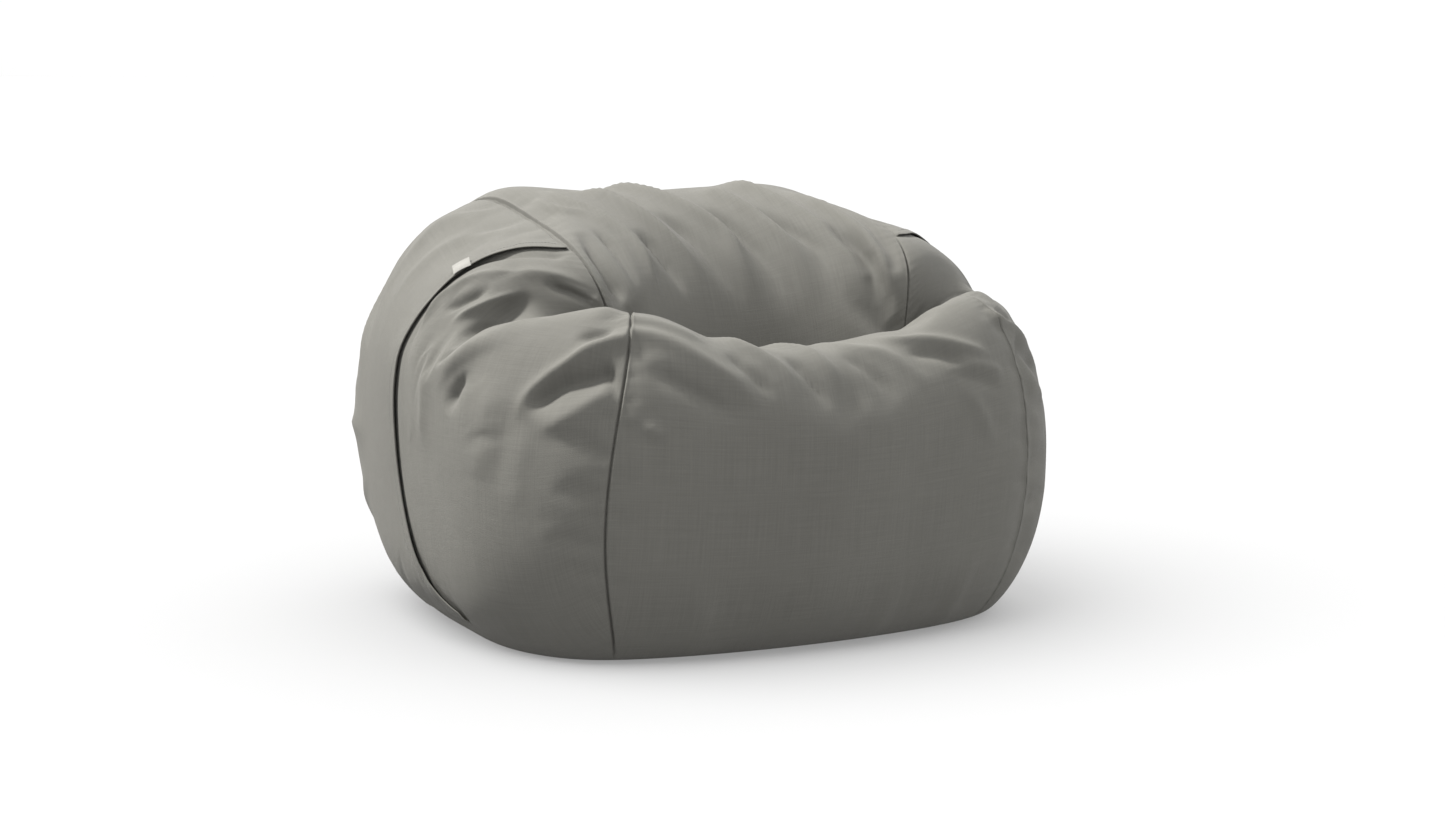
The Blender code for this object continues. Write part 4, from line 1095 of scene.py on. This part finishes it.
def inner_shell(depth_low, depth_high):
    """A closed shell inside the cover, near it on the floor and further in above, and its faces."""
    t, v, faces = whole_grid()
    normal = normals(t, v)
    depth = depth_low + (depth_high - depth_low) * smooth_step((normal[..., 2] + 0.99) / 0.25)
    points = form(t, v) - normal * depth[..., None]
    return np.concatenate([points.reshape(-1, 3), poles(depth_high)]), faces


def liner(surface):
    """The inner bag, open where its zip is."""
    points, faces = inner_shell(*LINER_DEPTH)
    corner = points[np.array([face[0] for face in faces])]
    in_slot = ((np.abs(corner[:, 0]) < LINER_SLOT_HALF[0]) & (np.abs(corner[:, 1] - ZIP_Y) < LINER_SLOT_HALF[1])
               & (corner[:, 2] < 0.01))
    faces = [face for face, cut in zip(faces, in_slot) if not cut]
    x, y, z = points.T
    wave = np.sin(31 * x + 3 * np.sin(17 * z)) * np.sin(27 * y + 11 * z)
    points[:, 0] += 0.0012 * wave * (z > 0.05)
    # the wave, given as crease, lightens the liner's bulges as wear and paints shade in its dips
    made = add_piece("liner_bag_cloth", points, faces, surface, points[:, 1:],
                     wave * 0.5, 0.0005)
    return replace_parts(made, "liner_bag")


def bead_fill(surface):
    """The mass of beads, with room over the two zips."""
    points, faces = inner_shell(*BEAD_DEPTH)
    over_zip = (np.abs(points[:, 0]) < GROOVE_HALF[0]) & (np.abs(points[:, 1] - ZIP_Y) < GROOVE_HALF[1])
    low = over_zip & (points[:, 2] < GROOVE_TOP)
    points[low, 2] = GROOVE_TOP + 0.0005
    made = add_piece("bead_mass", points, faces, surface, points[:, 1:])
    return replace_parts(made, "fill_beads")


# ---- studio ----

FLOOR_RINGS = (0.6, 1.2, 2.5, 6.0, 20.0, 60.0)
FLOOR_SIDES = 64
FLOOR_LEVEL = -0.0004
FLOOR_GLOW = 0.27
FLOOR_FROM = (-0.62, 0.10, 0.72)
FLOOR_STRENGTH = 3.6
FLOOR_ANGLE = math.radians(75)
KEY_FROM = (-0.46, 0.38, 0.80)
KEY_STRENGTH = 8.8
KEY_ANGLE = math.radians(10)
SKY_SLOPE = (0.28, -0.25, 1.10)  # how much brighter the sky is to the right, at the front and overhead
SKY_LEVEL = 1.20
CAMERA_TURN = math.radians(-27)
CAMERA_BACK = 4.27
CAMERA_AIM = (0.056, 0.0364, 0.306)
CAMERA_HEIGHT = 0.92
CAMERA_LENS = 65.0


def sun(name, source, strength, angle, colour):
    """A sun that shines from the direction of source."""
    light = bpy.data.lights.new(name, "SUN")
    light.energy = strength
    light.angle = angle
    light.color = colour
    lamp = put(name, light)
    lamp.rotation_euler = Vector(source).to_track_quat("Z", "Y").to_euler()
    return lamp


def studio():
    """The sky, the two suns, the camera and the floor, which one of the suns lights alone."""
    scene = bpy.context.scene
    scene.view_settings.view_transform = "Standard"
    world = bpy.data.worlds.new("studio")
    scene.world = world
    world.use_nodes = True
    tree = world.node_tree
    ways = add_node(tree, "ShaderNodeTexCoord").outputs["Generated"]
    slope = add_node(tree, "ShaderNodeVectorMath", {0: ways, 1: SKY_SLOPE}, operation="DOT_PRODUCT")
    level = add_node(tree, "ShaderNodeMath", {0: slope.outputs["Value"], 1: SKY_LEVEL}).outputs[0]
    tree.nodes["Background"].inputs[0].default_value = (1.0, 1.0, 1.0, 1.0)
    tree.links.new(level, tree.nodes["Background"].inputs[1])
    lamp = sun("key", KEY_FROM, KEY_STRENGTH, KEY_ANGLE, (1.0, 0.985, 0.95))
    floor_lamp = sun("floor_light", FLOOR_FROM, FLOOR_STRENGTH, FLOOR_ANGLE, (1.0, 1.0, 1.0))
    view = bpy.data.cameras.new("camera")
    view.lens = CAMERA_LENS
    view.sensor_width = 36.0
    camera = put("camera", view)
    back = Vector((math.sin(CAMERA_TURN), -math.cos(CAMERA_TURN), 0.0))
    aim = Vector(CAMERA_AIM)
    camera.location = back * CAMERA_BACK + Vector((aim.x, aim.y, CAMERA_HEIGHT))
    camera.rotation_euler = (camera.location - aim).to_track_quat("Z", "Y").to_euler()
    scene.camera = camera
    mesh = bpy.data.meshes.new("floor")
    angles = np.linspace(0, 2 * math.pi, FLOOR_SIDES, endpoint=False)
    spots = [(0.0, 0.0, FLOOR_LEVEL)]
    for r in FLOOR_RINGS:
        spots += [(r * math.cos(a), r * math.sin(a), FLOOR_LEVEL) for a in angles]
    faces = []
    for i in range(FLOOR_SIDES):
        a, b = 1 + i, 1 + (i + 1) % FLOOR_SIDES
        faces.append((0, a, b))
        faces += [(a + k, a + k + FLOOR_SIDES, b + k + FLOOR_SIDES, b + k)
                  for k in range(0, FLOOR_SIDES * (len(FLOOR_RINGS) - 1), FLOOR_SIDES)]
    mesh.from_pydata(spots, [], faces)
    mesh.materials.append(pale_floor())
    floor = put("floor", mesh)
    for light, state in ((lamp, "EXCLUDE"), (floor_lamp, "INCLUDE")):
        lit = bpy.data.collections.new(f"{light.name}_floor")
        lit.objects.link(floor)
        light.light_linking.receiver_collection = lit
        lit.collection_objects[0].light_linking.link_state = state


def main():
    """Builds the studio, the looks and every piece."""
    studio()
    cover = canvas("grey_canvas", (0.079, 0.077, 0.069), (0.091, 0.089, 0.080))
    flap = canvas("grey_canvas_flap", (0.080, 0.078, 0.070), (0.092, 0.090, 0.081))
    base = canvas("base_canvas", (0.050, 0.050, 0.048), (0.066, 0.066, 0.063), pitch=0.0016)
    label = canvas("label_white", (0.200, 0.196, 0.182), (0.216, 0.212, 0.198), pitch=0.0006, streak=0.03,
                   slub=0.2)
    liner_cloth = canvas("liner_cloth", (0.70, 0.70, 0.66), (0.78, 0.78, 0.75), pitch=0.0008, streak=0.06)
    grey_thread = thread("grey_thread", (0.088, 0.086, 0.078))
    dark_thread = thread("dark_thread", (0.12, 0.12, 0.115))
    white_thread = thread("white_thread", (0.19, 0.187, 0.175))
    tape_look = tape("zip_tape", (0.045, 0.045, 0.045))
    liner_tape = tape("liner_zip_tape", (0.72, 0.72, 0.69))
    coil_look = nylon("zip_coil", (0.022, 0.022, 0.022))
    metal_look = metal("zip_metal", (0.36, 0.36, 0.37))

    centre_panel(cover)
    side_panel("cover_left_side", -1, "left_side_panel", cover)
    side_panel("cover_right_side", 1, "right_side_panel", cover)
    rear_flap("cover_left_flap", -1, "left_rear_flap", flap, grey_thread)
    rear_flap("cover_right_flap", 1, "right_rear_flap", flap, grey_thread)
    side_label(label, white_thread)
    base_panel("base_front_cloth", -1, "base_front_panel", base, dark_thread)
    base_panel("base_rear_cloth", 1, "base_rear_panel", base, dark_thread)
    liner(liner_cloth)
    bead_fill(beads("bead_fill"))
    for half, sign in (("front", -1), ("rear", 1)):
        zip_tape(f"cover_zip_tape_{half}", f"zip_tape_{half}", sign, ZIP_LEVEL, 0.0018, 0.0203, 0.0340,
                 tape_look)
        zip_teeth(f"cover_zip_teeth_{half}", f"zip_coil_{half}", sign, ZIP_LEVEL, coil_look)
        zip_tape(f"inner_zip_tape_{half}", f"liner_zip_tape_{half}", sign, LINER_ZIP_LEVEL, 0.0036, 0.0425,
                 0.0560, liner_tape)
        zip_teeth(f"inner_zip_teeth_{half}", f"liner_zip_coil_{half}", sign, LINER_ZIP_LEVEL, coil_look)
    for node in ("zip_stop_left", "zip_stop_right", "zip_slider", "zip_pull", "liner_zip_slider"):
        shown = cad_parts[node]
        for slot in shown.material_slots:
            slot.material = metal_look
        edge = shown.modifiers.new("edge", "BEVEL")
        edge.width = 0.00025
        edge.segments = 2
        edge.limit_method = "ANGLE"


DRAPE = None
DRAPE = simulate()
main()
